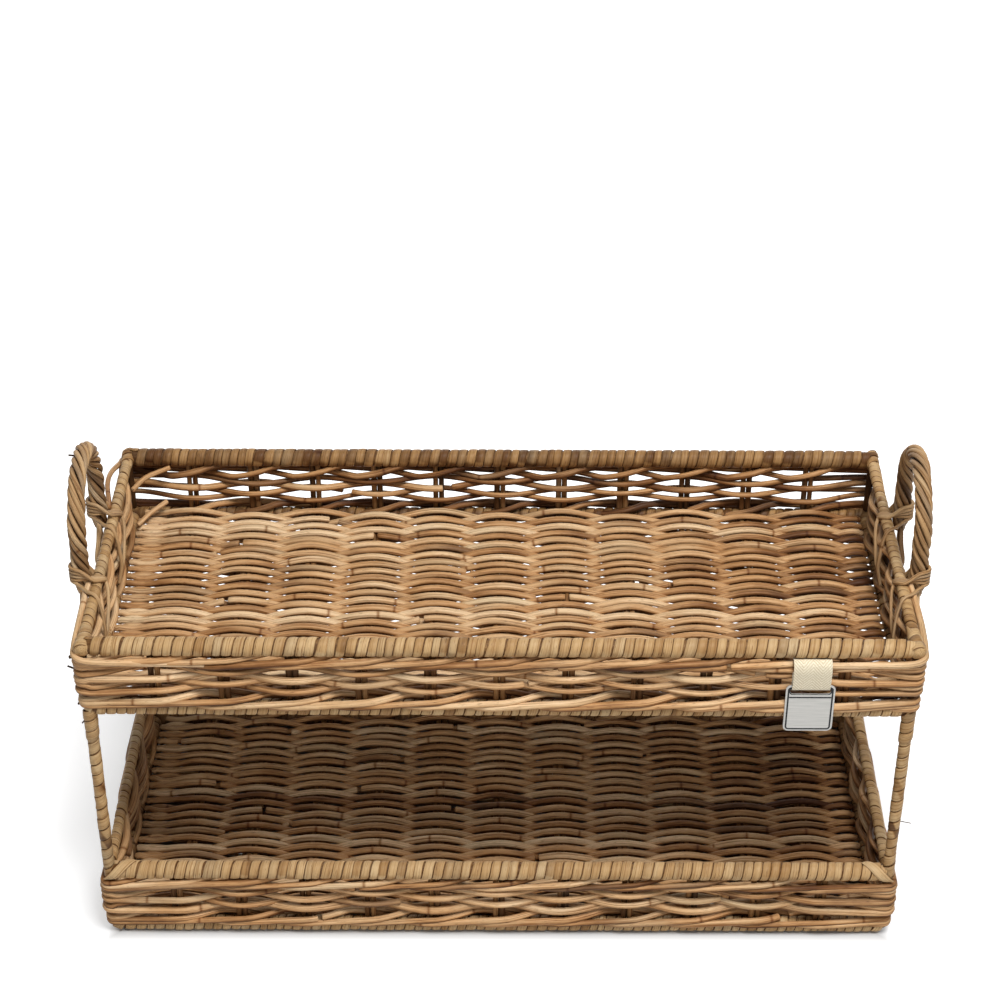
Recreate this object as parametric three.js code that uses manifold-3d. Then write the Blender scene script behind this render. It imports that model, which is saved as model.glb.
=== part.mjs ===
// Two-tier rattan tray: two woven trays on four wound corner posts, with two roped handles
// and a small metal plate that swings on a loop of cotton tape.
// Millimetres, +Z up, the front faces -Y, and the origin is the centre of the footprint on the ground.
import * as THREE from "three";
import { mergeVertices } from "three/addons/utils/BufferGeometryUtils.js";
import Module from "manifold-3d";

// Both trays
const TRAY_WIDTH = 586; // along X, between the centre lines of the end rims
const TRAY_DEPTH = 243; // along Y, between the centre lines of the front and back rims
const RIM_HEIGHT = 60; // from a tray's underside to the centre line of its rim
const TIER_PITCH = 212; // from the lower tray's underside to the upper one's
const RIM_DIAMETER = 14; // front and back rims
const END_RIM_DIAMETER = 8.5;
const RIM_DOME = 4; // length of the rounded tip of an upper end rim
const FOOT_DIAMETER = 12; // rod round the foot of a tray
const FOOT_CORNER = 5; // rounding of the foot rod's flat at the outer corners

// Stakes and weavers
const STAKE_DIAMETER = 4.6; // one rod of a pair
const STAKE_SPACING = 49; // about, from pair to pair; the pairs share the side evenly
const WEAVER_WIDTH = 5.6;
const WEAVER_THICKNESS = 4.6;
const BASE_ROW_GAP = 2.8; // least gap between rows of the base
const WALL_ROW_GAP = 2; // least gap between rows of a wall
const WALL_TOP_GAP = 4; // from the top row of a wall to the front and back rims
const BASE_LIFT = 0.8; // the lowest weave of a base above the tray's underside

// Corner posts and their split-cane windings
const POST_DIAMETER = 6;
const CANE_WIDTH = 9;
const CANE_THICKNESS = 1;
const CANE_GAP = 1.4; // between turns

// Handles and the lashings at their feet
const HANDLE_SPAN = 84; // between the centre lines of the legs
const HANDLE_RISE = 78; // rim centre line to the top of the arch's centre line
const HANDLE_SPRING = 32; // rim centre line to the start of the arch
const HANDLE_STRANDS = 3;
const HANDLE_ROD = 6.2; // diameter of one strand
const HANDLE_LAY = 66; // length of one full twist
const LASHING_DIAMETER = 3;
const LASHING_TURNS = 3;
const LASHING_GAP = 0.7; // between turns
const LASHING_ENTRY = 4; // height above the rim's centre line where the first turn meets the leg

// Tape and swinging plate
const TAPE_WIDTH = 27;
const TAPE_THICKNESS = 0.8;
const TAPE_DROP = 14; // top row of the wall to the bar that the plate hangs on
const PLATE_WIDTH = 35;
const PLATE_HEIGHT = 41;
const PLATE_THICKNESS = 1.2;
const PLATE_CORNER = 4;
const PLATE_BAR = 3.6; // height of the bar above the slot
const SLOT_HEIGHT = 3;

// Fits
const CLEARANCE = 0.3; // between pieces that touch
const SLOT_PLAY = 1; // at each end of the tape in its slot

// Facets
const ROUND_SIDES = 8;
const STRAND_SIDES = 5; // of a handle's strand
const LASHING_SIDES = 4;
const TURN_STEP = Math.PI / 4; // step of a strand's bend round a post or a rod
const WINDING_STEPS = 6; // steps of one turn on a post
const LAY_STEPS = 10; // steps of one full twist of a handle
const CORNER_STEPS = 3; // steps of a rounded corner
const WELD = 1e-3; // vertices this close are one

const COLOURS = {
  stake: 0xa98253,
  weaver: 0xb98d58,
  cane: 0xcdb07a,
  handle: 0xb99a6c,
  cotton: 0xe6dfcc,
  metal: 0xa9abad,
};

const X_AXIS = new THREE.Vector3(1, 0, 0);
const Z_AXIS = new THREE.Vector3(0, 0, 1);

const wasm = await Module();
wasm.setup();

// Joins and meshes

function solidOf(geometry) {
  const bare = geometry.index ? geometry.toNonIndexed() : geometry.clone();
  bare.deleteAttribute("normal");
  bare.deleteAttribute("uv");
  const merged = mergeVertices(bare, WELD);
  return new wasm.Manifold(
    new wasm.Mesh({
      numProp: 3,
      vertProperties: merged.attributes.position.array,
      triVerts: new Uint32Array(merged.index.array),
    }),
  );
}

function joined(geometries) {
  const whole = geometries.map(solidOf).reduce((sum, next) => sum.add(next));
  const { vertProperties, triVerts } = whole.getMesh();
  const geometry = new THREE.BufferGeometry();
  geometry.setAttribute("position", new THREE.BufferAttribute(vertProperties, 3));
  geometry.setIndex(new THREE.BufferAttribute(triVerts, 1));
  geometry.computeVertexNormals();
  return geometry;
}

function material(colour, roughness = 0.7, metalness = 0) {
  return new THREE.MeshStandardMaterial({ color: colour, roughness, metalness });
}

function piece(name, geometry, colour, roughness, metalness) {
  const mesh = new THREE.Mesh(geometry, material(colour, roughness, metalness));
  mesh.name = name;
  return mesh;
}

// Strands: a section swept through rings, each with its own place and heading

class StrandPath extends THREE.Curve {
  constructor(rings) {
    super();
    this.rings = rings;
  }

  getSpacedPoints() {
    return this.rings.map((ring) => ring.at);
  }

  computeFrenetFrames() {
    return {
      normals: this.rings.map((ring) => ring.side),
      binormals: this.rings.map((ring) => ring.up),
    };
  }
}

function ring(at, heading, up) {
  const side = up.clone().cross(heading).normalize();
  const level = heading.clone().cross(side).normalize();
  return { at, side, up: level };
}

function strand(rings, section) {
  const extrudePath = new StrandPath(rings);
  return new THREE.ExtrudeGeometry(section, { steps: rings.length - 1, extrudePath });
}

function polygonSection(diameter, sides) {
  const points = Array.from({ length: sides }, (_, i) => {
    const angle = (2 * Math.PI * (i + 0.5)) / sides;
    return new THREE.Vector2(Math.cos(angle), Math.sin(angle)).multiplyScalar(diameter / 2);
  });
  return new THREE.Shape(points);
}

// A split strand: widest at its middle, with a ridge on each face
function splitSection(width, thickness) {
  return new THREE.Shape([
    new THREE.Vector2(width / 2, 0),
    new THREE.Vector2(0, thickness / 2),
    new THREE.Vector2(-width / 2, 0),
    new THREE.Vector2(0, -thickness / 2),
  ]);
}

// A flat cane strip
function stripSection(width, thickness) {
  return new THREE.Shape([
    new THREE.Vector2(width / 2, -thickness / 2),
    new THREE.Vector2(width / 2, thickness / 2),
    new THREE.Vector2(-width / 2, thickness / 2),
    new THREE.Vector2(-width / 2, -thickness / 2),
  ]);
}

// Two rods side by side, as one bar with the rods' crowns
function pairSection() {
  const crown = STAKE_DIAMETER / 2;
  return new THREE.Shape([
    new THREE.Vector2(2 * crown, 0),
    new THREE.Vector2(crown, crown),
    new THREE.Vector2(-crown, crown),
    new THREE.Vector2(-2 * crown, 0),
    new THREE.Vector2(-crown, -crown),
    new THREE.Vector2(crown, -crown),
  ]);
}

// A straight bar of a section, along +Z from its foot
function bar(section, length) {
  return new THREE.ExtrudeGeometry(section, { depth: length, bevelEnabled: false });
}

// Evenly spaced places on a side of a given length, with none at the two ends
function placesAlong(length) {
  const count = Math.round(length / STAKE_SPACING) - 1;
  const pitch = length / (count + 1);
  return Array.from({ length: count }, (_, i) => (i - (count - 1) / 2) * pitch);
}

// The middles of the even bays that fill a stretch
function middlesBetween(low, high) {
  const count = Math.round((high - low) / STAKE_SPACING);
  return Array.from({ length: count }, (_, i) => low + ((i + 0.5) * (high - low)) / count);
}

// Rows that fill a width, as centre lines
function rowsBetween(low, high, rowGap) {
  const room = high - low - WEAVER_WIDTH;
  const count = Math.floor(room / (WEAVER_WIDTH + rowGap)) + 1;
  const pitch = room / (count - 1);
  return Array.from({ length: count }, (_, i) => low + WEAVER_WIDTH / 2 + i * pitch);
}

// How far a weaver's centre line stands off a stake or a post to pass it clear

function reachRound(diameter) {
  return (diameter / 2 + CLEARANCE) / Math.cos(TURN_STEP / 2) + WEAVER_THICKNESS / 2;
}

// The weaver falls from this pair to a neighbour at a distance of span, where it stands off by neighbour
function reachOver(span, neighbour) {
  const crown = STAKE_DIAMETER / 2;
  const level = crown + CLEARANCE + WEAVER_THICKNESS / 2;
  return (level + (crown * neighbour) / span) / (1 - crown / span);
}

const postReach = reachRound(POST_DIAMETER);
const endStakeReach = reachRound(STAKE_DIAMETER);

const longPlaces = placesAlong(TRAY_WIDTH);
const longPitch = TRAY_WIDTH / (longPlaces.length + 1);

// The end walls' outermost stakes stand just inside the weave round the corner posts
const endStakePlace =
  TRAY_DEPTH / 2 - postReach - endStakeReach - WEAVER_THICKNESS - CLEARANCE;

// Their pairs stand between the legs of the handle and beside them
const legPlace = HANDLE_SPAN / 2;
const besideLeg = middlesBetween(legPlace, endStakePlace);
const shortPlaces = [
  ...besideLeg.map((place) => -place).reverse(),
  ...middlesBetween(-legPlace, legPlace),
  ...besideLeg,
];
const endWallPlaces = [-endStakePlace, ...shortPlaces, endStakePlace];
const endWallBays = shortPlaces.map((place, i) => place - endWallPlaces[i]);

const longReach = reachOver(longPitch, postReach);
const shortReach = reachOver(Math.min(...endWallBays), endStakeReach);
const baseReach = reachOver(longPitch, 0);
const wallHalf = Math.max(longReach, shortReach, postReach) + WEAVER_THICKNESS / 2;

const baseLevel = BASE_LIFT + baseReach + WEAVER_THICKNESS / 2;
const rimUnderside = RIM_HEIGHT - RIM_DIAMETER / 2;
const endRimUnderside = RIM_HEIGHT - END_RIM_DIAMETER / 2;
const wallBottom = FOOT_DIAMETER + CLEARANCE;
const wallTop = rimUnderside - WALL_TOP_GAP;
const wallRows = rowsBetween(wallBottom, wallTop, WALL_ROW_GAP);
const wallPitch = wallRows[1] - wallRows[0];

// Foot: a rod bent round the tray's foot, with the base stakes let into it

function footFrame() {
  const radius = FOOT_DIAMETER / 2;
  const flat = radius * Math.tan(Math.PI / ROUND_SIDES);
  const x = TRAY_WIDTH / 2;
  const y = TRAY_DEPTH / 2;
  const outline = new THREE.Shape();
  const corners = [
    [x, y, 0],
    [-x, y, Math.PI / 2],
    [-x, -y, Math.PI],
    [x, -y, 1.5 * Math.PI],
  ];
  for (const [cx, cy, start] of corners) {
    const inset = flat - FOOT_CORNER;
    const centreX = cx + Math.sign(cx) * inset;
    const centreY = cy + Math.sign(cy) * inset;
    outline.absarc(centreX, centreY, FOOT_CORNER, start, start + Math.PI / 2, false);
  }
  outline.closePath();
  const inner = new THREE.Path();
  inner.moveTo(x - flat, y - flat);
  inner.lineTo(x - flat, flat - y);
  inner.lineTo(flat - x, flat - y);
  inner.lineTo(flat - x, y - flat);
  inner.closePath();
  outline.holes.push(inner);
  const bevel = radius - flat;
  const rod = new THREE.ExtrudeGeometry(outline, {
    depth: 2 * flat,
    bevelThickness: bevel,
    bevelSize: bevel,
    bevelSegments: 1,
    curveSegments: CORNER_STEPS,
  });
  rod.translate(0, 0, bevel);
  const stakes = longPlaces.map((place) =>
    bar(pairSection(), TRAY_DEPTH)
      .rotateX(-Math.PI / 2)
      .translate(place, -TRAY_DEPTH / 2, baseLevel),
  );
  return joined([rod, ...stakes]);
}

// Base: one unbroken strand, over and under the stakes, row after row from front to back

function baseWeaver() {
  const halfDepth = TRAY_DEPTH / 2 - wallHalf - CLEARANCE;
  const rows = rowsBetween(-halfDepth, halfDepth, BASE_ROW_GAP);
  const turnRadius = (rows[1] - rows[0]) / 2;
  const end = TRAY_WIDTH / 2 - wallHalf - CLEARANCE - WEAVER_WIDTH / 2 - turnRadius;
  const rings = [];
  rows.forEach((y, row) => {
    const way = row % 2 === 0 ? 1 : -1;
    const heading = new THREE.Vector3(way, 0, 0);
    const place = (x, z) => rings.push(ring(new THREE.Vector3(x, y, z), heading, Z_AXIS));
    place(-way * end, baseLevel);
    longPlaces.forEach((_, step) => {
      const stake = way > 0 ? step : longPlaces.length - 1 - step;
      const over = (row + stake) % 2 === 0 ? 1 : -1;
      place(longPlaces[stake], baseLevel + over * baseReach);
    });
    place(way * end, baseLevel);
    if (row < rows.length - 1) {
      const turn = new THREE.Vector3(way * (end + turnRadius), y + turnRadius, baseLevel);
      rings.push(ring(turn, new THREE.Vector3(0, 1, 0), Z_AXIS));
    }
  });
  return strand(rings, splitSection(WEAVER_WIDTH, WEAVER_THICKNESS));
}

// A wall is built along X, with +Y outwards, about the middle of its side

// One unbroken strand, in and out of the stakes, turning round the upright at each end
function wallWeaver(places, reach, endPlace, endReach) {
  const rings = [];
  const add = (x, y, z, heading) => {
    const up = heading.clone().cross(Z_AXIS);
    rings.push(ring(new THREE.Vector3(x, y, z), heading, up));
  };
  wallRows.forEach((z, row) => {
    const way = row % 2 === 0 ? 1 : -1;
    const heading = new THREE.Vector3(way, 0, 0);
    const sideAt = (index) => ((row + index) % 2 === 0 ? 1 : -1);
    const first = way > 0 ? -1 : places.length;
    const last = way > 0 ? places.length : -1;
    add(-way * endPlace, sideAt(first) * endReach, z, heading);
    places.forEach((_, step) => {
      const stake = way > 0 ? step : places.length - 1 - step;
      add(places[stake], sideAt(stake) * reach, z, heading);
    });
    const side = sideAt(last);
    add(way * endPlace, side * endReach, z, heading);
    if (row === wallRows.length - 1) return;
    for (let angle = TURN_STEP; angle < Math.PI - TURN_STEP / 2; angle += TURN_STEP) {
      const x = way * (endPlace + endReach * Math.sin(angle));
      const y = side * endReach * Math.cos(angle);
      const bend = new THREE.Vector3(way * Math.cos(angle), -side * Math.sin(angle), 0);
      add(x, y, z + (wallPitch * angle) / Math.PI, bend);
    }
  });
  return strand(rings, splitSection(WEAVER_WIDTH, WEAVER_THICKNESS));
}

function rimRod(diameter, length, dome) {
  const radius = diameter / 2;
  const half = length / 2;
  const middle = Math.PI / 4;
  const profile = [new THREE.Vector2(0, -half), new THREE.Vector2(radius, dome - half)];
  if (dome > 0) {
    const across = radius * Math.cos(middle);
    profile.splice(1, 0, new THREE.Vector2(across, -half + dome * (1 - Math.sin(middle))));
  }
  const upper = profile.map((point) => new THREE.Vector2(point.x, -point.y)).reverse();
  return new THREE.LatheGeometry([...profile, ...upper], ROUND_SIDES)
    .rotateZ(-Math.PI / 2)
    .translate(0, 0, RIM_HEIGHT);
}

// A rim rod with the stakes of its wall let into it, down to the foot rod
function wallComb(places, endPlaces, rim) {
  const length = RIM_HEIGHT - wallBottom;
  const single = polygonSection(STAKE_DIAMETER, ROUND_SIDES);
  const pairs = places.map((x) => bar(pairSection(), length).translate(x, 0, wallBottom));
  const ends = endPlaces.map((x) => bar(single, length).translate(x, 0, wallBottom));
  return joined([rim, ...pairs, ...ends]);
}

const WALLS = [
  { side: "back", long: true, x: 0, y: TRAY_DEPTH / 2, turn: 0 },
  { side: "front", long: true, x: 0, y: -TRAY_DEPTH / 2, turn: Math.PI },
  { side: "left", long: false, x: -TRAY_WIDTH / 2, y: 0, turn: Math.PI / 2 },
  { side: "right", long: false, x: TRAY_WIDTH / 2, y: 0, turn: -Math.PI / 2 },
];

const CORNERS = [
  ["front_left", -1, -1],
  ["front_right", 1, -1],
  ["back_left", -1, 1],
  ["back_right", 1, 1],
];

const footGeometry = footFrame();
const baseGeometry = baseWeaver();
const longWeave = wallWeaver(longPlaces, longReach, TRAY_WIDTH / 2, postReach);
const shortWeave = wallWeaver(shortPlaces, shortReach, endStakePlace, endStakeReach);

// A tray: foot, base, and four walls with the given rims
function tray(tier, longRim, shortRim, dome) {
  const group = new THREE.Group();
  group.add(piece(`${tier}_foot_frame`, footGeometry, COLOURS.cane));
  group.add(piece(`${tier}_base_weave`, baseGeometry, COLOURS.weaver));
  const longRod = rimRod(RIM_DIAMETER, longRim, 0);
  const shortRod = rimRod(END_RIM_DIAMETER, shortRim, dome);
  const longComb = wallComb(longPlaces, [], longRod);
  const shortComb = wallComb(shortPlaces, [-endStakePlace, endStakePlace], shortRod);
  for (const wall of WALLS) {
    const panel = new THREE.Group();
    panel.add(piece(`${tier}_rim_${wall.side}`, wall.long ? longComb : shortComb, COLOURS.cane));
    const weave = wall.long ? longWeave : shortWeave;
    panel.add(piece(`${tier}_wall_${wall.side}`, weave, COLOURS.weaver));
    panel.position.set(wall.x, wall.y, 0);
    panel.rotation.z = wall.turn;
    group.add(panel);
  }
  return group;
}

// Uprights at the corners

function upright(name, height) {
  const rod = bar(polygonSection(POST_DIAMETER, ROUND_SIDES), height);
  return piece(name, rod.translate(0, 0, wallBottom), COLOURS.stake);
}

// Least gap between turns of a winding, over points at least half a turn apart along it
function leastGap(points, pointsPerTurn, width) {
  let least = Infinity;
  points.forEach((point, i) => {
    for (let j = i + Math.ceil(pointsPerTurn / 2); j < points.length; j += 1)
      least = Math.min(least, point.distanceTo(points[j]));
  });
  return least - width;
}

function reportGap(name, points, pointsPerTurn, width) {
  const gap = leastGap(points, pointsPerTurn, width);
  console.log(`${name}: least gap to itself ${gap.toFixed(2)} mm`);
}

// Split cane wound up a post, from the lower rim to the upper tray's foot
function postWinding() {
  const low = RIM_HEIGHT + RIM_DIAMETER / 2 + CLEARANCE + CANE_WIDTH / 2;
  const high = TIER_PITCH - CLEARANCE - CANE_WIDTH / 2;
  const turns = Math.floor((high - low) / (CANE_WIDTH + CANE_GAP));
  const steps = turns * WINDING_STEPS;
  const inner = (POST_DIAMETER / 2 + CLEARANCE) / Math.cos(Math.PI / WINDING_STEPS);
  const radius = inner + CANE_THICKNESS / 2;
  const rings = Array.from({ length: steps + 1 }, (_, step) => {
    const angle = (2 * Math.PI * step) / WINDING_STEPS;
    const out = new THREE.Vector3(Math.cos(angle), Math.sin(angle), 0);
    const heading = Z_AXIS.clone().cross(out);
    const at = out.clone().multiplyScalar(radius);
    at.z = low + ((high - low) * step) / steps;
    return ring(at, heading, out);
  });
  const edges = rings.map((each) => each.at);
  reportGap("post winding", edges, WINDING_STEPS, CANE_WIDTH);
  return strand(rings, stripSection(CANE_WIDTH, CANE_THICKNESS));
}

// Handles: strands laid round a common arch in the plane of an end wall, about the rim's centre line

const strandOffset =
  (HANDLE_ROD + CLEARANCE) /
  (2 * Math.sin(Math.PI / HANDLE_STRANDS) * Math.cos(Math.PI / LAY_STEPS));
const ropeRadius = strandOffset + HANDLE_ROD / 2;
const handleOut = END_RIM_DIAMETER / 2 + CLEARANCE + ropeRadius;
const legFoot = wallTop + CLEARANCE - RIM_HEIGHT; // the legs stand on the wall's top row

function handleArch() {
  const arch = new THREE.Path();
  arch.moveTo(legPlace, legFoot);
  arch.lineTo(legPlace, HANDLE_SPRING);
  arch.absellipse(0, HANDLE_SPRING, legPlace, HANDLE_RISE - HANDLE_SPRING, 0, Math.PI, false, 0);
  arch.lineTo(-legPlace, legFoot);
  return arch;
}

function handleStrand(index) {
  const arch = handleArch();
  const twists = arch.getLength() / HANDLE_LAY;
  const steps = Math.ceil(twists * LAY_STEPS);
  const rings = Array.from({ length: steps + 1 }, (_, step) => {
    const share = step / steps;
    const middle = arch.getPointAt(share);
    const along = arch.getTangentAt(share);
    const heading = new THREE.Vector3(0, along.x, along.y);
    const across = X_AXIS.clone().cross(heading);
    const angle = 2 * Math.PI * (share * twists + index / HANDLE_STRANDS);
    const at = new THREE.Vector3(0, middle.x, middle.y)
      .addScaledVector(across, strandOffset * Math.cos(angle))
      .addScaledVector(X_AXIS, strandOffset * Math.sin(angle));
    return ring(at, heading, X_AXIS);
  });
  return strand(rings, polygonSection(HANDLE_ROD, STRAND_SIDES));
}

// Lashing: a strand that crosses the outside of a leg and goes back round the rim, turn beside turn.
// The rim runs along Y at the origin, the leg stands at x = handleOut.
function lashing() {
  const pitch = LASHING_DIAMETER + LASHING_GAP;
  const bendOut = 1 / Math.cos(TURN_STEP / 2);
  const legRadius = (ropeRadius + CLEARANCE) * bendOut + LASHING_DIAMETER / 2;
  const rimRadius = (END_RIM_DIAMETER / 2 + CLEARANCE) * bendOut + LASHING_DIAMETER / 2;
  const quarter = Math.PI / 2;
  const points = [];
  for (let turn = 0; turn < LASHING_TURNS; turn += 1) {
    const left = LASHING_TURNS - 1 - turn;
    const topY = -legRadius - turn * pitch;
    const bottomY = legRadius + left * pitch;
    const topZ = LASHING_ENTRY + turn * pitch;
    const bottomZ = topZ - LASHING_ENTRY - (LASHING_TURNS - 1) * pitch;
    for (let angle = -quarter; angle < quarter + TURN_STEP / 2; angle += TURN_STEP) {
      const share = (angle + quarter) / Math.PI;
      const x = handleOut + legRadius * Math.cos(angle);
      const z = THREE.MathUtils.lerp(topZ, bottomZ, share);
      points.push(new THREE.Vector3(x, legRadius * Math.sin(angle), z));
    }
    const nextTopY = topY - pitch;
    for (let angle = -quarter; angle > -3 * quarter - TURN_STEP / 2; angle -= TURN_STEP) {
      const share = (-quarter - angle) / Math.PI;
      const x = rimRadius * Math.cos(angle);
      const z = rimRadius * Math.sin(angle);
      points.push(new THREE.Vector3(x, THREE.MathUtils.lerp(bottomY, nextTopY, share), z));
    }
  }
  const centre = new THREE.Vector3(handleOut / 2, 0, 0);
  const rings = points.map((at, i) => {
    const before = points[Math.max(i - 1, 0)];
    const after = points[Math.min(i + 1, points.length - 1)];
    const heading = after.clone().sub(before).normalize();
    const out = at.clone().sub(centre).setY(0);
    return ring(at, heading, out);
  });
  reportGap("lashing", points, points.length / LASHING_TURNS, LASHING_DIAMETER);
  return strand(rings, polygonSection(LASHING_DIAMETER, LASHING_SIDES));
}

function handle(side, turn) {
  const group = new THREE.Group();
  const arch = new THREE.Group();
  for (let index = 0; index < HANDLE_STRANDS; index += 1)
    arch.add(piece(`handle_${side}_strand_${index + 1}`, handleStrand(index), COLOURS.handle));
  arch.position.x = handleOut;
  group.add(arch);
  const wrap = lashing();
  [1, -1].forEach((way, i) => {
    const tie = piece(`handle_${side}_lashing_${i + 1}`, wrap, COLOURS.weaver);
    tie.position.y = way * legPlace;
    tie.scale.y = way;
    group.add(tie);
  });
  group.position.set((Math.cos(turn) * TRAY_WIDTH) / 2, 0, TIER_PITCH + RIM_HEIGHT);
  group.rotation.z = turn;
  return group;
}

// Tape and plate, at the middle of a bay of the front wall

const bayMiddle = (longPlaces.at(-1) + longPlaces.at(-2)) / 2;
const topRow = wallRows.at(-1);
const strandSway = (longReach * TAPE_WIDTH) / longPitch;
const rowReach = strandSway + WEAVER_THICKNESS / 2;
const foldInner = Math.hypot(PLATE_BAR, PLATE_THICKNESS) / 2 + CLEARANCE;
const foldRadius = foldInner + TAPE_THICKNESS / 2;
const tapeOff = rowReach + 2 * CLEARANCE + TAPE_THICKNESS / 2;
const barOut = tapeOff + foldRadius;
const barLevel = topRow - TAPE_DROP;

// A closed outline pushed out by a distance; the points run anticlockwise
function offsetLoop(points, distance) {
  return points.map((point, i) => {
    const before = points.at(i - 1);
    const after = points[(i + 1) % points.length];
    const arriving = point.clone().sub(before).normalize();
    const leaving = after.clone().sub(point).normalize();
    const bisector = new THREE.Vector2(arriving.y + leaving.y, -arriving.x - leaving.x).normalize();
    const spread = bisector.dot(new THREE.Vector2(arriving.y, -arriving.x));
    return point.clone().addScaledVector(bisector, distance / spread);
  });
}

// The tape's loop in a section across the wall: outwards, and up
function tapeLoop() {
  const over = topRow + WEAVER_WIDTH / 2 + CLEARANCE + TAPE_THICKNESS / 2;
  const under = topRow - wallPitch / 2;
  const crown = strandSway + CLEARANCE;
  const points = [new THREE.Vector2(tapeOff, barLevel)];
  for (let angle = Math.PI + TURN_STEP; angle < 2 * Math.PI - TURN_STEP / 2; angle += TURN_STEP) {
    const fold = new THREE.Vector2(Math.cos(angle), Math.sin(angle)).multiplyScalar(foldRadius);
    points.push(fold.add(new THREE.Vector2(barOut, barLevel)));
  }
  points.push(
    new THREE.Vector2(barOut + foldRadius, barLevel),
    new THREE.Vector2(barOut + foldRadius, topRow - wallPitch / 2),
    new THREE.Vector2(tapeOff, topRow + CLEARANCE),
    new THREE.Vector2(crown, over),
    new THREE.Vector2(-crown, over),
    new THREE.Vector2(-tapeOff, topRow),
    new THREE.Vector2(-crown, under),
    new THREE.Vector2(crown, under),
    new THREE.Vector2(tapeOff, under - wallPitch / 2),
  );
  return points;
}

function tape() {
  const loop = tapeLoop();
  const outline = new THREE.Shape(offsetLoop(loop, TAPE_THICKNESS / 2));
  outline.holes.push(new THREE.Path(offsetLoop(loop, -TAPE_THICKNESS / 2)));
  return bar(outline, TAPE_WIDTH)
    .translate(0, 0, -TAPE_WIDTH / 2)
    .rotateX(Math.PI / 2)
    .rotateZ(-Math.PI / 2);
}

function roundedPlate(width, top, bottom, corner) {
  const x = width / 2 - corner;
  const outline = new THREE.Shape();
  outline.absarc(x, top - corner, corner, 0, Math.PI / 2, false);
  outline.absarc(-x, top - corner, corner, Math.PI / 2, Math.PI, false);
  outline.absarc(-x, bottom + corner, corner, Math.PI, 1.5 * Math.PI, false);
  outline.absarc(x, bottom + corner, corner, 1.5 * Math.PI, 2 * Math.PI, false);
  return outline;
}

// The plate about the middle of its bar, in the X-Z plane
function plate() {
  const top = PLATE_BAR / 2;
  const outline = roundedPlate(PLATE_WIDTH, top, top - PLATE_HEIGHT, PLATE_CORNER);
  const slotWidth = TAPE_WIDTH + 2 * SLOT_PLAY;
  outline.holes.push(roundedPlate(slotWidth, -top, -top - SLOT_HEIGHT, SLOT_HEIGHT / 2));
  return new THREE.ExtrudeGeometry(outline, {
    depth: PLATE_THICKNESS,
    bevelEnabled: false,
    curveSegments: CORNER_STEPS,
  })
    .translate(0, 0, -PLATE_THICKNESS / 2)
    .rotateX(Math.PI / 2);
}

// The whole object

const lowerTray = tray(
  "lower",
  TRAY_WIDTH - POST_DIAMETER - 2 * CLEARANCE,
  TRAY_DEPTH - RIM_DIAMETER - 2 * CLEARANCE,
  0,
);
const upperTray = tray(
  "upper",
  TRAY_WIDTH - END_RIM_DIAMETER - 2 * CLEARANCE,
  TRAY_DEPTH + RIM_DIAMETER,
  RIM_DOME,
);

const cornerStakeHeight = endRimUnderside - CLEARANCE - wallBottom;
const winding = postWinding();
for (const [corner, x, y] of CORNERS) {
  const place = new THREE.Vector3((x * TRAY_WIDTH) / 2, (y * TRAY_DEPTH) / 2, 0);
  const post = upright(`post_${corner}`, TIER_PITCH - CLEARANCE - wallBottom);
  const wound = piece(`post_winding_${corner}`, winding, COLOURS.cane);
  post.position.copy(place);
  wound.position.copy(place);
  lowerTray.add(post, wound);
  const stake = upright(`upper_corner_stake_${corner}`, cornerStakeHeight);
  stake.position.copy(place);
  upperTray.add(stake);
}

const loop = piece("tag_tape", tape(), COLOURS.cotton, 0.95);
loop.position.set(bayMiddle, -TRAY_DEPTH / 2, 0);
const tag = piece("tag_plate", plate(), COLOURS.metal, 0.35, 1);
tag.position.set(bayMiddle, -TRAY_DEPTH / 2 - barOut, barLevel);
upperTray.add(loop, tag);
upperTray.position.z = TIER_PITCH;

const twoTierTray = new THREE.Group();
twoTierTray.add(lowerTray, upperTray, handle("right", 0), handle("left", Math.PI));

export default twoTierTray;
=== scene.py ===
"""Looks of the two-tier rattan tray: strands, windings, ropes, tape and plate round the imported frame.

Metres, +Z up, the front faces -Y, as in the frame. A tint runs from 0, dark, to 1, pale.
"""

import math

import bpy
import numpy as np
from mathutils import Matrix, Vector


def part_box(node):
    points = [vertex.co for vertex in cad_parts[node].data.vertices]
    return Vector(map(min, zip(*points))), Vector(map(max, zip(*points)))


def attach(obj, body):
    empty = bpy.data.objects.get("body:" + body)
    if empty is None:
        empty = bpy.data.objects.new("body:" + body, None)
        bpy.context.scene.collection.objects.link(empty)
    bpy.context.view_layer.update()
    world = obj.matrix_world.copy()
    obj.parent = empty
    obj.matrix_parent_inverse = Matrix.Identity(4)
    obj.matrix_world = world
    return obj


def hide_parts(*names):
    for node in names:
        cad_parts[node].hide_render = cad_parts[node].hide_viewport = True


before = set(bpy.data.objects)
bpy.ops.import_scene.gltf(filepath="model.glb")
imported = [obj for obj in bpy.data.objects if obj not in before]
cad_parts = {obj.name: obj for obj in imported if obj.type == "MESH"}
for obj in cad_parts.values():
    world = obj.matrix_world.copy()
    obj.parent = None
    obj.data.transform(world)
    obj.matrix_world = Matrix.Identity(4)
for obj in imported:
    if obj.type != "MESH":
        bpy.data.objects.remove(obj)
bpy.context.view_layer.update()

SEED = 11
TIERS = ("lower", "upper")
SIDES = ("front", "right", "back", "left")
CORNERS = {"front_left": (-1, -1), "front_right": (1, -1), "back_right": (1, 1), "back_left": (-1, 1)}
HANDLE_STRANDS = (1, 2, 3)
UP = np.array([0.0, 0.0, 1.0])
OUT_X = np.array([1.0, 0.0, 0.0])
OUT_Y = np.array([0.0, 1.0, 0.0])

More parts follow.
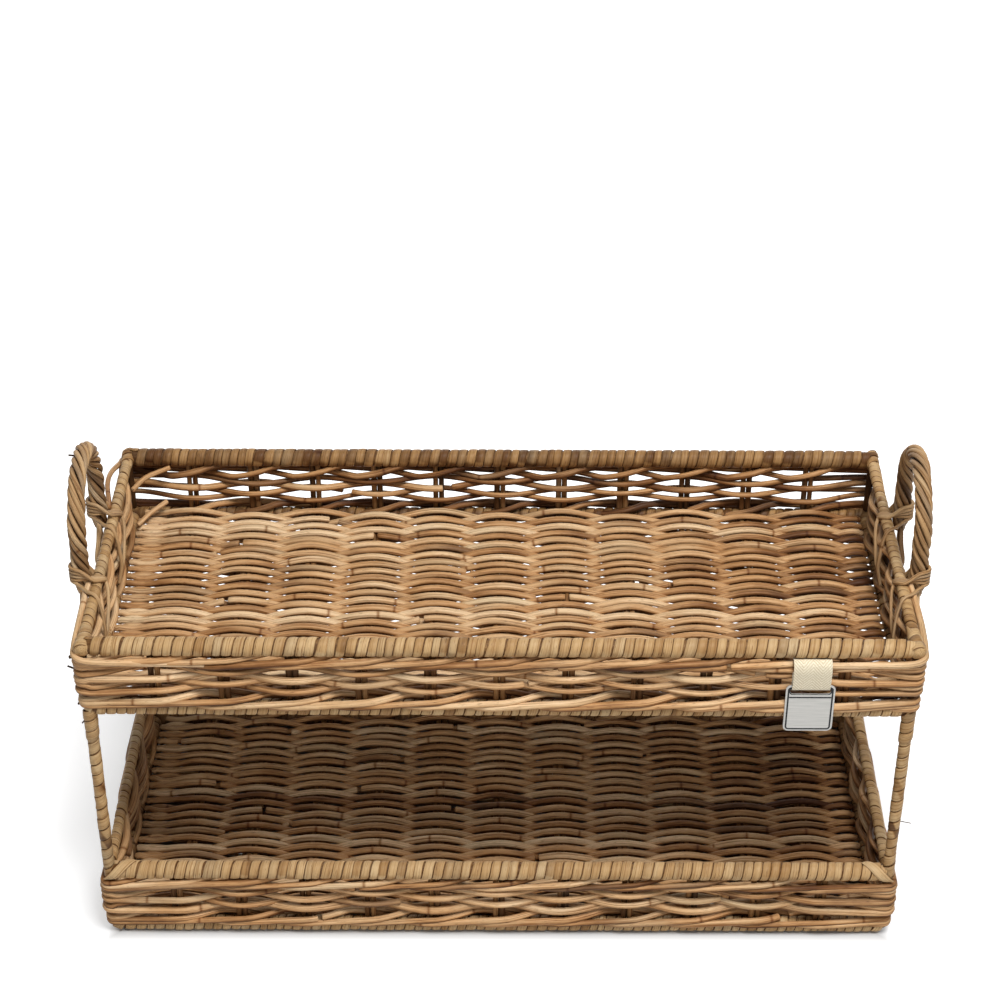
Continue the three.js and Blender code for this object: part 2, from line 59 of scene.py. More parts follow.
# Strands
STRAND = 0.0052  # diameter of a weaver
STAKE = 0.0046  # diameter of one rod of a pair
STRAND_SIDES = 10
ROD_SIDES = 8
STRAND_STEP = 0.0042  # between rings along a strand
ROD_STEP = 0.01  # along a straight rod
FINE_STEP = 0.0015  # along a strand that bends tightly
SMOOTHING = 9  # steps over which a sharp corner of a path is eased
BLUNT = 0.25  # bevel of a cut end, as a share of the strand's radius
WIDTH_SCATTER = (0.92, 1.07)  # narrowest and widest strand, as shares of the usual one
ROUNDNESS = (0.92, 1.0)  # thickness of a strand as a share of its width
CREASE = math.radians(62)  # edges at least this sharp show as creases
CUT_LENGTHS = (0.5, 1.5)  # of the pieces that a long strand is made of
CUT_GAP = 0.0003
JOINT_SPACING = 0.22  # about, between the growth rings of a strand
CANE_JOINT_SPACING = 0.7
JOINT_LENGTH = 0.004
JOINT_SWELL = 0.07  # how much thicker a strand is at a growth ring
JOINT_LINE = 0.0018  # width of its dark line

# Wavelength and size of the slow swings along each kind of line
SWINGS = {
    "strand_radius": (0.09, 0.035),  # as a share of the radius
    "strand_tint": (0.12, 0.13),
    "base_hump": (0.15, 0.07),  # as a share of the hump
    "base_row": (0.11, 0.0004),
    "base_stake": (0.2, 0.0003),
    "wall_row": (0.13, 0.0012),
    "waling": (0.2, 0.0003),
    "cane_lift": (0.03, 0.00022),
    "cane_edge": (0.021, 0.00016),
    "rope_angle": (0.12, 0.1),  # radians
    "rope_rod": (0.05, 0.0003),
}
OVERTONES = (1, 1.7, 2.9)  # wavelengths of a swing's parts, as shares of its own

# Tints
STRAND_TINTS = ((0.1, (0.22, 0.38)), (0.3, (0.75, 0.95)), (1.0, (0.4, 0.75)))  # dark, straw and honey
BASE_STAKE_TINTS = (0.4, 0.8)
WALL_STAKE_TINTS = (0.15, 0.85)
LASHING_TINTS = (0.55, 0.75)
CORNER_STAKE_TINT = 0.15
LOOSE_END_TINT = 0.6
TIP_TINT = 0.6
STRAP_TINT = 0.72
TWIG_TINT = 0.0
CORE_TINT = 0.05  # of a rod under a winding
ROPE_CORE_TINT = 0.1
CANE_TINT = (0.56, 0.09)  # mean and scatter
DARK_TURNS = (0.07, 0.3)  # share of a winding's turns, and how much darker they are
BASE_UNDERSIDE_SHADE = 0.5  # painted shade: how much darker a weaver is below
BASE_RECESS_SHADE = 0.25  # painted shade where it dives under a stake
BASE_PALER = 0.06  # how much paler the weavers of a base are
# painted shade under a wall's weavers
WALL_UNDERSIDE_SHADE = 0.45
ROPE_GAP_SHADE = 1.1  # painted shade: how much darker a rod of a rope is between its neighbours
RIGHT_DARKER = 0.28  # how much darker the right end of a base is
RIGHT_ZONE = (0.3, 0.6)  # where that begins and over what run, as shares of half the width
RIGHT_CURVE = 1.5  # how slowly it sets in
BACK_SHADE = 0.38  # painted shade on the back walls and their rims
BACK_ZONE = (0.9, 0.1)  # as shares of half the depth
# painted shade on the back leg of each handle
BACK_LEG_SHADE = 0.2
FOOT_INSIDE_SHADE = 0.45  # painted shade on the side of a foot rod that faces the middle of the tray

# Base weave
LONG_PAIRS = 11  # stake pairs along a long side
BASE_ROWS = 50
BASE_EDGE = 0.0074  # from the posts' line to the first row's centre line
BASE_END = 0.0088  # from the posts' line to the turn of a row
BASE_STRAND = (0.0059, 0.0048)  # width and thickness of a base weaver
LOWER_STRAND = 0.95  # width of the lower base's strands, as a share of the upper one's
BASE_BED = 0.44  # how far a strand rises over a stake, as a share of its thickness
BASE_SCATTER = 0.00035  # how unevenly the rows are spaced
BASE_SWING = 0.0012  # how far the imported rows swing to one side
BASE_WAVES = ((0.045, 5), (0.083, -9))  # the swing's waves: length along a row, and number of rows
BASE_HOLD = 4  # how firmly the turns hold a row's ends in place
BASE_LOOSE = (1.6, 0.03)  # how much looser the rows lie towards their ends, and over what length
PARTINGS = 34  # places in a base where two rows stand apart
PARTING = 0.0017  # how far each of the two is pushed aside
PARTING_LENGTH = 0.013
PARTING_ROWS = 1.6  # how soon the push fades from row to row
BASE_END_ZONE = 0.036  # length over which the rows run flat into their turns
BASE_PAIRING = 0.3  # share of a row's pitch by which rows close up where they turn
BASE_LIFT = (0.0016, 0.0055)  # how much higher the outermost rows lie, and over what width
STAKE_LEVEL = 0.0084  # the base stakes' centre line above a tray's underside
BASE_STAKE_RINGS = 30

# Walls: a waling of three strands at the foot, plain rows, and a waling under the rim
PLAIN_ROWS = 4
PLAIN_LEVELS = (0.0234, 0.0394)  # first and last plain row above a tray's underside
PLAIN_STARTS = (0.1, 0.9)  # where a row may begin, as shares of the way round
POST_BED = 0.7  # how near a row lies to a post's centre line, as a share of the wound post's radius
FOOT_WALE = 0.0124
RIM_WALE = 0.0479
WALE_STRAND = 0.0053  # diameter
WALE_STRANDS = 3
WALE_BAND = 0.0106  # height of the band that a waling's strands climb through
WALE_CLIMB = 0.42  # ends of a climb from the middle of the band, as a share of it
WALE_STARTS = (0.3, 0.6)
WALL_SCATTER = (0.82, 1.16)  # thinnest and thickest strand of a wall, as shares of the usual one
FOOT_WALE_REACH = 0.0062  # it stands out over the foot rod
FOOT_WALE_CORNER = 0.0044  # from a post's centre line
RIM_WALE_CORNER = 0.0056
END_STAKE_INSET = 0.0164  # from the posts' line to the single stakes of an end wall
CORNER_RINGS = 6  # of a strand that turns round a post

# Strands that run along the end rims: corner, bow outward, diameter and tint
RUNNERS = (
    (-1, -1, 0.0, WALE_STRAND, 0.85),
    (1, -1, 0.0007, WALE_STRAND, 0.85),
    (-1, 1, 0.0045, 0.7 * WALE_STRAND, 0.4),
)
RUNNER_BED = 0.0005  # how far they bed into the rim's winding
# Ends of weavers that stand out, from the back left post at the rim's level
LOOSE_ENDS = (
    ((0.0065, -0.03, -0.011), (0.0155, -0.017, -0.008), (0.033, -0.0085, -0.0045)),
    ((0.0075, -0.028, -0.0455), (0.0165, -0.018, -0.041), (0.0285, -0.0085, -0.0365)),
)
LOOSE_END_SIZE = 0.8  # as a share of a weaver's diameter
# Stray twigs: place, way out, length and diameter
TWIGS = (
    ((-0.298, -0.118, 0.2475), (-1.0, 0.0, 0.5), 0.0085, 0.0014),
    ((-0.299, -0.121, 0.2625), (-1.0, -0.3, 0.0), 0.004, 0.0026),
    ((-0.298, -0.121, 0.2245), (-0.5, 0.0, -1.0), 0.006, 0.0016),
    ((-0.2965, -0.1225, 0.2065), (-0.8, 0.0, -1.0), 0.0045, 0.0012),
    ((-0.3095, 0.004, 0.3495), (-1.0, 0.0, 0.1), 0.0045, 0.0014),
    ((0.2955, -0.1225, 0.112), (1.0, 0.0, -0.25), 0.01, 0.0006),
)
TWIG_UP = (0.1, 1.0, 0.2)

# Cane windings
CANE_THICKNESS = 0.0011
CANE_COVER = 0.96  # share of a turn's pitch that the strip covers
TINT_LEAD = 0.25  # how long before a turn begins its tint does, as a share of a turn
TURN_SCATTER = 0.13  # of the turns' widths
TURN_LIMITS = (0.72, 1.5)  # narrowest and widest turn, as shares of the usual one
WINDING_STEPS = 18  # rings of one turn
RIM_TURN = 0.0071
FOOT_TURN = 0.0072
POST_TURN = 0.0102
CUFF_TURN = 0.0085
FOOT_RADIUS = 0.006
FOOT_BEND = 0.005  # radius of the foot rod's centre line at the corners
FOOT_BEND_RINGS = 7
FOOT_LAP = 0.004  # how far the ends of the foot rod run past each other
POST_RADIUS = 0.0044
COLLAR_RADIUS = 0.0053  # a second layer at the head of a post
COLLAR_HEIGHT = 0.022
RIM_TIP = 0.004  # length of the rounded tip of an end rim
TIP_CUT = 0.97  # where its round is cut flat, as a share of that length
TIP_RINGS = 9
CUFFS = ((0.024, 0.0063), (0.015, 0.0058))  # length and radius of the thicker front and back tips
CUFF_STEP = 0.004
STRAP_WIDTH = 0.0072  # of the strip across each lower front corner
STRAP_RUN = (-0.002, 0.018)  # its ends along the rim, from the corner
STRAP_TURN = (math.radians(-50), math.radians(120))  # its ends round the rim, from the front
STRAP_STEPS = 18

# Handles
ROPE_RODS = 6
ROPE_ROD = 0.0041  # diameter
ROPE_LAY = 0.058  # length of one full twist
ROPE_TAPER = 0.013  # length over which the foot of a leg closes up
ROPE_CLOSED = 0.45  # how thin it gets
HANDLE_SPRING = 0.032  # rim's centre line to the start of the arch
HANDLE_STEP = 0.003
ARCH_STEPS = 40
TAILS = ((0.018, 0.034), (0.03, 0.03), (0.042, 0.024))  # run to the front and reach below the rim
TAIL_SIZE = 0.9  # as a share of a rod's diameter
LASHING = 0.0029  # diameter
LASHING_TURNS = 4
LASHING_GAP = 0.0001
LASHING_ENTRY = 0.0036  # height above the rim's centre line where the first turn meets the leg
LASHING_FALL = 0.003  # how far a turn drops as it crosses the outside of the leg

# Tape and plate
TAPE_THICKNESS = 0.0008
TAPE_STEP = 0.0004
TAPE_COLUMNS = 61
TAPE_PRESS = np.array([0.0, 0.0016, -0.003])  # how far it presses in the waling that it hangs over
TAPE_PRESS_REACH = 0.016
TAPE_STRIPES = 4  # of the herringbone
TAPE_RIB = 0.0025  # length of one rib along the tape
TAPE_SLANT = 3  # ribs that a stripe climbs from side to side
TAPE_RELIEF = 0.00006
PLATE_CORNER = 0.004
PLATE_HINGE = 0.0018  # from the plate's top edge to the line that it swings about
PLATE_BAR = 0.0024
PLATE_BEVEL = 0.00025
SLOT_HEIGHT = 0.0052
SLOT_PLAY = 0.001
LINE_INSET = 0.0013  # the printed border line from the plate's edge
LINE_WIDTH = 0.0012
LINE_DEPTH = 0.0001
LINE_BEVEL = 0.00002
ROUND_END = 1e-5  # what a round end's radius stays under half the height
CORNER_STEPS = 9

# Noises of the materials: changes per metre along each axis, and detail
STREAKS = ((14, 1300, 1300), 3)
BLOTCHES = ((38, 160, 160), 3)
PORES = ((160, 2600, 2600), 2)
WEATHER = ((8, 20, 20), 2)
FIBRES = ((1500, 1500, 1500), 3)
BRUSHING = ((60, 2500, 2500), 3)
PRINT_WEAR = ((900, 900, 900), 2)
WHITE = "#ffffff"

# Camera, stage and lamps
CAMERA_PLACE = (0.0, -1.4086, 1.2689)
CAMERA_PITCH = math.radians(34.12)  # below the horizon
CAMERA_ROLL = math.radians(0.19)
FOCAL_PIXELS = 2316.0
IMAGE_PIXELS = 1000
SENSOR = 36.0
FLOOR_SIZE = 8.0
FLOOR_COLOUR = (0.5, 0.5, 0.5, 1.0)
FLOOR_LIT = 0.3  # the floor's own light, which begins at the tray's edge; without it the floor under the tray is dark as painted shade
FLOOR_EDGE = (-0.004, 0.006)  # from the posts' line
FLOOR_WHITE = 0.7  # the light that is added further out, so that the floor shows as white
# over which that white fades out towards the tray, as a painted shadow round it
FLOOR_FADE = (-0.05, 0.1)
FLOOR_DEEPER = 0.008  # both begin this much further out in front and behind, which widens the painted shadow there
AMBIENT = 0.03
LAMP_AIM = Vector((0, 0, 0.15))
# Name, place, width and height, and watts
LAMPS = (
    ("key", (0.4, -0.75, 2.2), (0.8, 0.8), 54),
    ("fill", (-0.2, -2.3, 1.0), (3.0, 1.2), 15),
    ("back", (0.0, 2.0, 1.1), (2.4, 0.8), 14),
)

rng = np.random.default_rng(SEED)

# The frame's own sizes


def middle(node):
    low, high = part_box(node)
    return (low + high) / 2


corner_post = middle("post_front_right")
HALF_WIDTH = corner_post.x
HALF_DEPTH = -corner_post.y
SIDE_LENGTHS = 2 * [2 * HALF_WIDTH, 2 * HALF_DEPTH]
LONG_PITCH = 2 * HALF_WIDTH / (LONG_PAIRS + 1)
FLOORS = {tier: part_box(f"{tier}_foot_frame")[0].z for tier in TIERS}
rim_low, rim_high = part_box("upper_rim_front")
RIM_RADIUS = (rim_high.y - rim_low.y) / 2
end_rim_low, end_rim_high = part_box("upper_rim_right")
END_RIM_RADIUS = (end_rim_high.x - end_rim_low.x) / 2
RIM_LEVELS = {tier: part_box(f"{tier}_rim_front")[1].z - RIM_RADIUS for tier in TIERS}
handle_low, handle_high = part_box("handle_right_strand_1")
ROPE_RADIUS = (handle_high.x - handle_low.x) / 2
HANDLE_OUT = (handle_high.x + handle_low.x) / 2
HANDLE_TOP = max(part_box(f"handle_right_strand_{i}")[1].z for i in HANDLE_STRANDS) - ROPE_RADIUS
LEG_PLACE = handle_high.y - ROPE_RADIUS
TAPE_PLACE = middle("tag_tape").x

# Lines and sections


def unit(vectors):
    return vectors / np.linalg.norm(vectors, axis=-1, keepdims=True)


def lengths_along(path):
    steps = np.linalg.norm(np.diff(path, axis=0), axis=1)
    return np.concatenate([[0.0], np.cumsum(steps)])


def at_distances(distance, along, values):
    """Points or directions of a line, taken at other distances along it."""
    return np.column_stack([np.interp(distance, along, part) for part in values.T])


def at_rim(x, y):
    """A point at the level of the upper rims."""
    return np.array([x, y, RIM_LEVELS["upper"]])


def turned(angle, first, second):
    """The directions at these angles from a first one towards a second."""
    return np.cos(angle)[:, None] * first + np.sin(angle)[:, None] * second


def wander(along, kind, scale=1.0):
    """A smooth random swing along a line of this kind."""
    wave, size = SWINGS[kind]
    parts = [np.sin(2 * math.pi * (along / (wave * k) + rng.random())) for k in OVERTONES]
    return size * scale * sum(parts) / 2


def eased(at, knots, values):
    """Values at the knots, with a smooth half wave from each knot to the next."""
    index = np.clip(np.searchsorted(knots, at, side="right") - 1, 0, len(knots) - 2)
    share = (at - knots[index]) / (knots[index + 1] - knots[index])
    wave = (1 - np.cos(math.pi * np.clip(share, 0, 1))) / 2
    return values[index] + (values[index + 1] - values[index]) * wave


def straight(start, stop, step=ROD_STEP):
    count = max(3, round(np.linalg.norm(np.subtract(stop, start)) / step) + 1)
    return np.linspace(start, stop, count)


def curve_through(knots, step=FINE_STEP):
    """A smooth path through points, at about this step."""
    knots = np.asarray(knots, float)
    ends = np.concatenate([2 * knots[:1] - knots[1:2], knots, 2 * knots[-1:] - knots[-2:-1]])
    parts = []
    for before, start, stop, after in zip(ends, ends[1:], ends[2:], ends[3:]):
        count = max(2, round(np.linalg.norm(stop - start) / step))
        t = np.linspace(0, 1, count, endpoint=False)[:, None]
        bend = 2 * before - 5 * start + 4 * stop - after
        twist = -before + 3 * start - 3 * stop + after
        parts.append(start + t * (stop - before) / 2 + t**2 * bend / 2 + t**3 * twist / 2)
    return np.concatenate([*parts, knots[-1:]])


def smoothed(path):
    """A path with its corners eased, at even steps."""
    along = lengths_along(path)
    line = at_distances(np.arange(0, along[-1], FINE_STEP), along, path)
    kernel = np.hanning(SMOOTHING)[1:-1]
    kernel /= kernel.sum()
    margin = len(kernel) // 2
    padded = np.pad(line, ((margin, margin), (0, 0)), "edge")
    return np.column_stack([np.convolve(part, kernel, "valid") for part in padded.T])


def round_section(sides):
    angle = 2 * math.pi * np.arange(sides) / sides
    return np.column_stack([np.cos(angle), np.sin(angle)])


def strip_section():
    """A split strip: flat below, slightly crowned on top, one unit thick and two wide."""
    across = np.array([1, 0.92, 0.55, 0, -0.55, -0.92, -1])
    crown = np.array([0.2, 0.62, 0.9, 1, 0.9, 0.62, 0.2])
    below = [[-1, 0], [0, 0], [1, 0]]
    return np.concatenate([np.column_stack([across, crown]), below])


STRAND_SECTION = round_section(STRAND_SIDES)
ROD_SECTION = round_section(ROD_SIDES)
STRIP_SECTION = strip_section()

# Strands that become meshes


def shown(name, data):
    """Puts an object with this data into the scene."""
    made = bpy.data.objects.new(name, data)
    bpy.context.scene.collection.objects.link(made)
    return made


def placed(name, mesh, material, nodes, body="tray"):
    """Shows a mesh as a piece that rides on a body and stands for CAD nodes."""
    mesh.materials.append(material)
    piece = shown(name, mesh)
    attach(piece, body)
    if nodes:
        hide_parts(*nodes)
    return piece


class Bundle:
    """Swept strands of one piece, each with its own grain, tint and place on the bake's map."""

    MAP_NAME = "OFBake"
    MAP_MARGIN = 0.03
    CAP_PLACES = (0.2, 2.4)  # where its end faces begin on the map, past a strand's end, in its own reach
    CAP_ROOM = 4.6
    CAP_HEIGHT = 0.3
    FOLD_ROOM = 5  # what the map keeps free at the end of a row, in a strand's reach
    UNDERSIDE = 0.3  # the height on a section from which painted shade darkens it downwards
    GRAIN_START = 50  # the longest way at which a strand's grain may begin

    def __init__(self):
        self.places, self.grains, self.tints, self.edges = [], [], [], []
        self.quads, self.quad_maps = [], []
        self.caps, self.cap_maps = [], []
        self.points = 0
        self.ribbon = 0.0
        self.area = 0.0
        self.spare = 0.0

    def add(self, path, up, section, across, thick, tint, under=0.0):
        """Sweeps a section along a path, across by thick, its top facing up, and darker by under below, as
        painted shade.
        """
        path = np.asarray(path, float)
        count = len(path)
        heading = unit(np.gradient(path, axis=0))
        side = unit(np.cross(np.broadcast_to(up, path.shape), heading))
        level = np.cross(heading, side)
        size = np.column_stack([np.broadcast_to(across, count), np.broadcast_to(thick, count)])
        ends = [0, *range(count), count - 1]
        path, heading, side, level, size = (v[ends].copy() for v in (path, heading, side, level, size))
        tint = np.broadcast_to(tint, count)[ends]
        for end, way in ((0, -1), (-1, 1)):
            path[end] += way * heading[end] * BLUNT * size[end].min()
            size[end] *= 1 - BLUNT
        along = lengths_along(path)
        flat = section[None] * size[:, None]
        ring = path[:, None] + side[:, None] * flat[..., :1] + level[:, None] * flat[..., 1:]
        start = np.full((*flat.shape[:2], 1), rng.uniform(0, self.GRAIN_START))
        self.places.append(ring.reshape(-1, 3))
        grain = np.concatenate([along[:, None, None] + start, flat], axis=2)
        self.grains.append(grain.reshape(-1, 3))
        # painted shade: the lower part of each section is darker
        below = under * np.clip(self.UNDERSIDE - section[:, 1], 0, 1)
        self.tints.append(np.clip(tint[:, None] - below, 0, 1).ravel())
        edge = np.abs(section[:, 0]) if section is STRIP_SECTION else np.zeros(len(section))
        self.edges.append(np.tile(edge, len(path)))
        self._faces(along, size.max(), ring)

    def _faces(self, along, reach, ring):
        count, sides = ring.shape[:2]
        first = self.points + np.arange(count - 1)[:, None] * sides
        spot = np.arange(sides)
        after = (spot + 1) % sides
        quads = np.stack([first + spot, first + after, first + sides + after, first + sides + spot], -1)
        self.quads.append(quads.reshape(-1, 4))
        begin = np.repeat(self.ribbon + along[:-1], 4 * sides)
        span = np.outer(np.repeat(np.diff(along), sides), [0, 0, 1, 1])
        turn = np.tile(spot, count - 1)[:, None] + [0, 1, 1, 0]
        self.quad_maps.append(np.column_stack([begin, span.ravel(), turn.ravel() / sides]))
        last = self.points + (count - 1) * sides
        self.caps += [(self.points + spot[::-1]).tolist(), (last + spot).tolist()]
        end = self.ribbon + along[-1]
        x, y = round_section(sides).T
        for place in self.CAP_PLACES:
            begin = np.full(sides, end + place * reach)
            self.cap_maps.append(np.column_stack([begin, reach * (1 + x), 0.5 + self.CAP_HEIGHT * y]))
        self.points += count * sides
        self.ribbon = end + self.CAP_ROOM * reach
        loop = ring[count // 2]
        girth = np.linalg.norm(np.diff(loop, axis=0, append=loop[:1]), axis=1).sum()
        self.area += (along[-1] + self.CAP_ROOM * reach) * girth
        self.spare = max(self.spare, np.diff(along).max(), self.FOLD_ROOM * reach)

    def _map(self):
        """The bake's map: the strands laid end to end on one ribbon, which is folded into rows."""
        rows = max(1, round(self.ribbon / math.sqrt(self.area)))
        width = self.ribbon / rows
        begin, offset, share = np.concatenate(self.quad_maps + self.cap_maps).T
        row = np.floor(begin / width)
        across = (begin - row * width + offset) / (width + self.spare)
        height = (row + self.MAP_MARGIN + (1 - 2 * self.MAP_MARGIN) * share) / rows
        return np.column_stack([across, height])

    def piece(self, name, material, slot, *nodes):
        """Makes the mesh, which stands for CAD nodes of the tray."""
        mesh = bpy.data.meshes.new(name)
        quads = np.concatenate(self.quads)
        mesh.from_pydata(np.concatenate(self.places).tolist(), [], quads.tolist() + self.caps)
        grain = mesh.attributes.new("grain", "FLOAT_VECTOR", "POINT")
        grain.data.foreach_set("vector", np.concatenate(self.grains).astype(np.float32).ravel())
        for key, values in (("tint", self.tints), ("edge", self.edges)):
            layer = mesh.attributes.new(key, "FLOAT", "POINT")
            layer.data.foreach_set("value", np.concatenate(values).astype(np.float32))
        layer = mesh.uv_layers.new(name=self.MAP_NAME)
        layer.data.foreach_set("uv", self._map().astype(np.float32).ravel())
        mesh.shade_smooth()
        mesh.set_sharp_from_angle(angle=CREASE)
        placed(name, mesh, material, nodes)


def strand_tint():
    """How pale a strand is: mostly honey, with some dark and some straw."""
    kind = rng.random()
    span = next(span for share, span in STRAND_TINTS if kind < share)
    return rng.uniform(*span)


def swollen(along, radius):
    """A strand's radius along its length: uneven, and thicker at the growth rings."""
    rings = (along + rng.uniform(0, JOINT_SPACING)) % JOINT_SPACING - JOINT_SPACING / 2
    swell = JOINT_SWELL * np.exp(-((rings / JOINT_LENGTH) ** 2))
    return radius * (1 + swell) + wander(along, "strand_radius", radius)


def add_strand(
    bundle, path, up, diameter, tint=None, section=STRAND_SECTION, flat=1.0, under=0.0, shade_and_tone=0.0
):
    """One natural strand, with a slowly changing colour, darker by under below as painted shade, and
    darker all round by the last argument, partly as painted shade.
    """
    along = lengths_along(path)
    radius = swollen(along, diameter / 2 * rng.uniform(*WIDTH_SCATTER))
    shade = strand_tint() if tint is None else tint
    # the darkening all round is partly painted shade and partly the strand's own tone
    drift = np.clip(shade + wander(along, "strand_tint") - shade_and_tone, 0, 1)
    bundle.add(path, up, section, radius, radius * flat * rng.uniform(*ROUNDNESS), drift, under)


def in_pieces(path):
    """A long path as the pieces that it was woven from, with a small gap at each joint."""
    along = lengths_along(path)
    start = 0.0
    while start < along[-1] - CUT_LENGTHS[0] / 4:
        stop = start + rng.uniform(*CUT_LENGTHS)
        if along[-1] - stop < CUT_LENGTHS[0] / 2:
            stop = along[-1] + 1
        kept = (along >= start) & (along <= stop)
        yield path[kept]
        start = stop + CUT_GAP


# Bases


def base_path(level, reach, thickness):
    """One strand, row after row from front to back, over and under the stakes, turning at each end."""
    end = HALF_WIDTH - BASE_END
    edge = HALF_DEPTH - BASE_EDGE
    rows = np.linspace(-edge, edge, BASE_ROWS)
    turn = (rows[1] - rows[0]) / 2
    rows[1:-1] += rng.normal(0, BASE_SCATTER, BASE_ROWS - 2)
    phases = rng.uniform(0, 2 * math.pi, len(BASE_WAVES))
    parted_x = rng.uniform(-end, end, PARTINGS)
    parted_row = rng.integers(2, BASE_ROWS - 3, PARTINGS) + 0.5
    looser, loose_length = BASE_LOOSE
    angle = np.radians([-60, -30, 0, 30, 60])
    points = []
    for row, y in enumerate(rows):
        way = 1 if row % 2 == 0 else -1
        x = way * np.arange(-end, end + STRAND_STEP / 2, STRAND_STEP)
        from_end = end - np.abs(x)
        fade = np.clip(from_end / (LONG_PITCH / 2), 0, 1)
        held = np.clip(BASE_HOLD * fade, 0, 1)
        wave = np.cos(math.pi * (x / LONG_PITCH + row))
        lift = BASE_LIFT[0] * math.exp(-(((edge - abs(y)) / BASE_LIFT[1]) ** 2))
        hump = reach * (1 + wander(x, "base_hump"))
        z = level + lift + hump * wave * np.sin(fade * math.pi / 2)
        packed = sum(np.sin(x / length + row / span + p) for (length, span), p in zip(BASE_WAVES, phases))
        packed = packed * BASE_SWING / 2 * math.sin(math.pi * row / (BASE_ROWS - 1))
        loose = 1 + looser * np.exp(-((from_end / loose_length) ** 2))
        side = (packed + wander(x, "base_row") * loose) * held
        push = np.sign(row - parted_row) * np.exp(-np.abs(row - parted_row) / PARTING_ROWS)
        near = np.exp(-(((x[:, None] - parted_x) / PARTING_LENGTH) ** 2))
        side += PARTING * (near @ push) * held
        turning = way * np.sign(x) * np.clip((np.abs(x) - end) / BASE_END_ZONE + 1, 0, 1) ** 2
        side += turning * 2 * turn * BASE_PAIRING
        z += turning * thickness / 3
        points.append(np.column_stack([x, y + side, z]))
        if row < BASE_ROWS - 1:
            half = (rows[row + 1] - y) / 2
            small = turn * (1 - 2 * BASE_PAIRING)
            bend = way * (end + small * np.cos(angle))
            flat = np.full(len(angle), level + lift)
            points.append(np.column_stack([bend, y + half + small * np.sin(angle), flat]))
    return np.concatenate(points)


def base(tier, material):
    level = FLOORS[tier] + STAKE_LEVEL
    width, thickness = BASE_STRAND
    share = LOWER_STRAND if tier == "lower" else 1.0
    reach = STAKE / 2 + thickness * BASE_BED
    begin, run = RIGHT_ZONE
    flat = thickness / width
    bundle = Bundle()
    for part in in_pieces(base_path(level, reach, thickness)):
        # darker towards the right end of the base
        shade_and_tone = RIGHT_DARKER * np.clip((part[:, 0] / HALF_WIDTH - begin) / run, 0, 1) ** RIGHT_CURVE
        # painted shade where a weaver dives under a stake; the whole base is also a little paler in tone
        shade_and_tone = shade_and_tone + BASE_RECESS_SHADE * np.clip((level - part[:, 2]) / reach, 0, 1) - BASE_PALER
        add_strand(bundle, part, UP, width * share, flat=flat, under=BASE_UNDERSIDE_SHADE, shade_and_tone=shade_and_tone)
    bundle.piece(f"{tier}_base_strands", material, "weaver", f"{tier}_base_weave")


def base_stakes(bundle, tier):
    """Pairs of rods from front to back, let into the foot rod."""
    level = FLOORS[tier] + STAKE_LEVEL
    y = np.linspace(-HALF_DEPTH, HALF_DEPTH, BASE_STAKE_RINGS)
    for k in range(LONG_PAIRS):
        for half in (-1, 1):
            x = (k - (LONG_PAIRS - 1) / 2) * LONG_PITCH + half * STAKE / 2
            path = np.column_stack([x + wander(y, "base_stake"), y, np.full(len(y), level)])
            add_strand(bundle, path, UP, STAKE, rng.uniform(*BASE_STAKE_TINTS), ROD_SECTION)


# The loop round a tray's walls: distance from the front left post, the line's points and the way out


def wall_loop():
    along = np.array([[1, 0], [0, 1], [-1, 0], [0, -1]], float)
    out = np.array([[0, -1], [1, 0], [0, 1], [-1, 0]], float)
    start = np.array([-HALF_WIDTH, -HALF_DEPTH])
    angle = np.linspace(0, math.pi / 2, CORNER_RINGS)
    distance, line, outward, done = [], [], [], 0.0
    for side, run in enumerate(SIDE_LENGTHS):
        t = np.linspace(0, run, round(run / STRAND_STEP) + 1)[1:-1]
        distance.append(done + t)
        line.append(start + np.outer(t, along[side]))
        outward.append(np.repeat(out[side : side + 1], len(t), axis=0))
        start = start + run * along[side]
        done += run
        distance.append(np.full(CORNER_RINGS, done))
        line.append(np.repeat(start[None], CORNER_RINGS, axis=0))
        outward.append(turned(angle, out[side], out[(side + 1) % 4]))
    return np.concatenate(distance), np.concatenate(line), np.concatenate(outward)


LOOP_AT, LOOP_LINE, LOOP_OUT = wall_loop()
LOOP_LENGTH = 4 * (HALF_WIDTH + HALF_DEPTH)
CORNER_AT = np.cumsum([0, *SIDE_LENGTHS])


def pair_places():
    """The stake pairs of all four walls, as distances round the loop."""
    long_places = HALF_WIDTH + (np.arange(LONG_PAIRS) - (LONG_PAIRS - 1) / 2) * LONG_PITCH
    beside = (LEG_PLACE + HALF_DEPTH - END_STAKE_INSET) / 2
    short_places = HALF_DEPTH + np.array([-beside, -LEG_PLACE / 2, LEG_PLACE / 2, beside])
    places = (long_places, short_places, long_places, short_places)
    return np.concatenate([corner + place for corner, place in zip(CORNER_AT, places)])


PAIR_AT = pair_places()


def round_the_walls(reach_at_pairs, corner_reach, levels):
    """A path round the tray that stands out this far at the stake pairs and corners."""
    knots = np.concatenate([PAIR_AT, CORNER_AT])
    values = np.concatenate([reach_at_pairs, np.full(len(CORNER_AT), corner_reach)])
    order = np.argsort(knots)
    reach = eased(LOOP_AT, knots[order], values[order])
    return np.column_stack([LOOP_LINE + LOOP_OUT * reach[:, None], levels])


def back_shade(path):
    """Painted shade: the back wall's strands, and the windings at the back, are darker."""
    begin, run = BACK_ZONE
    return BACK_SHADE * np.clip((path[:, 1] / HALF_DEPTH - begin) / run, 0, 1)


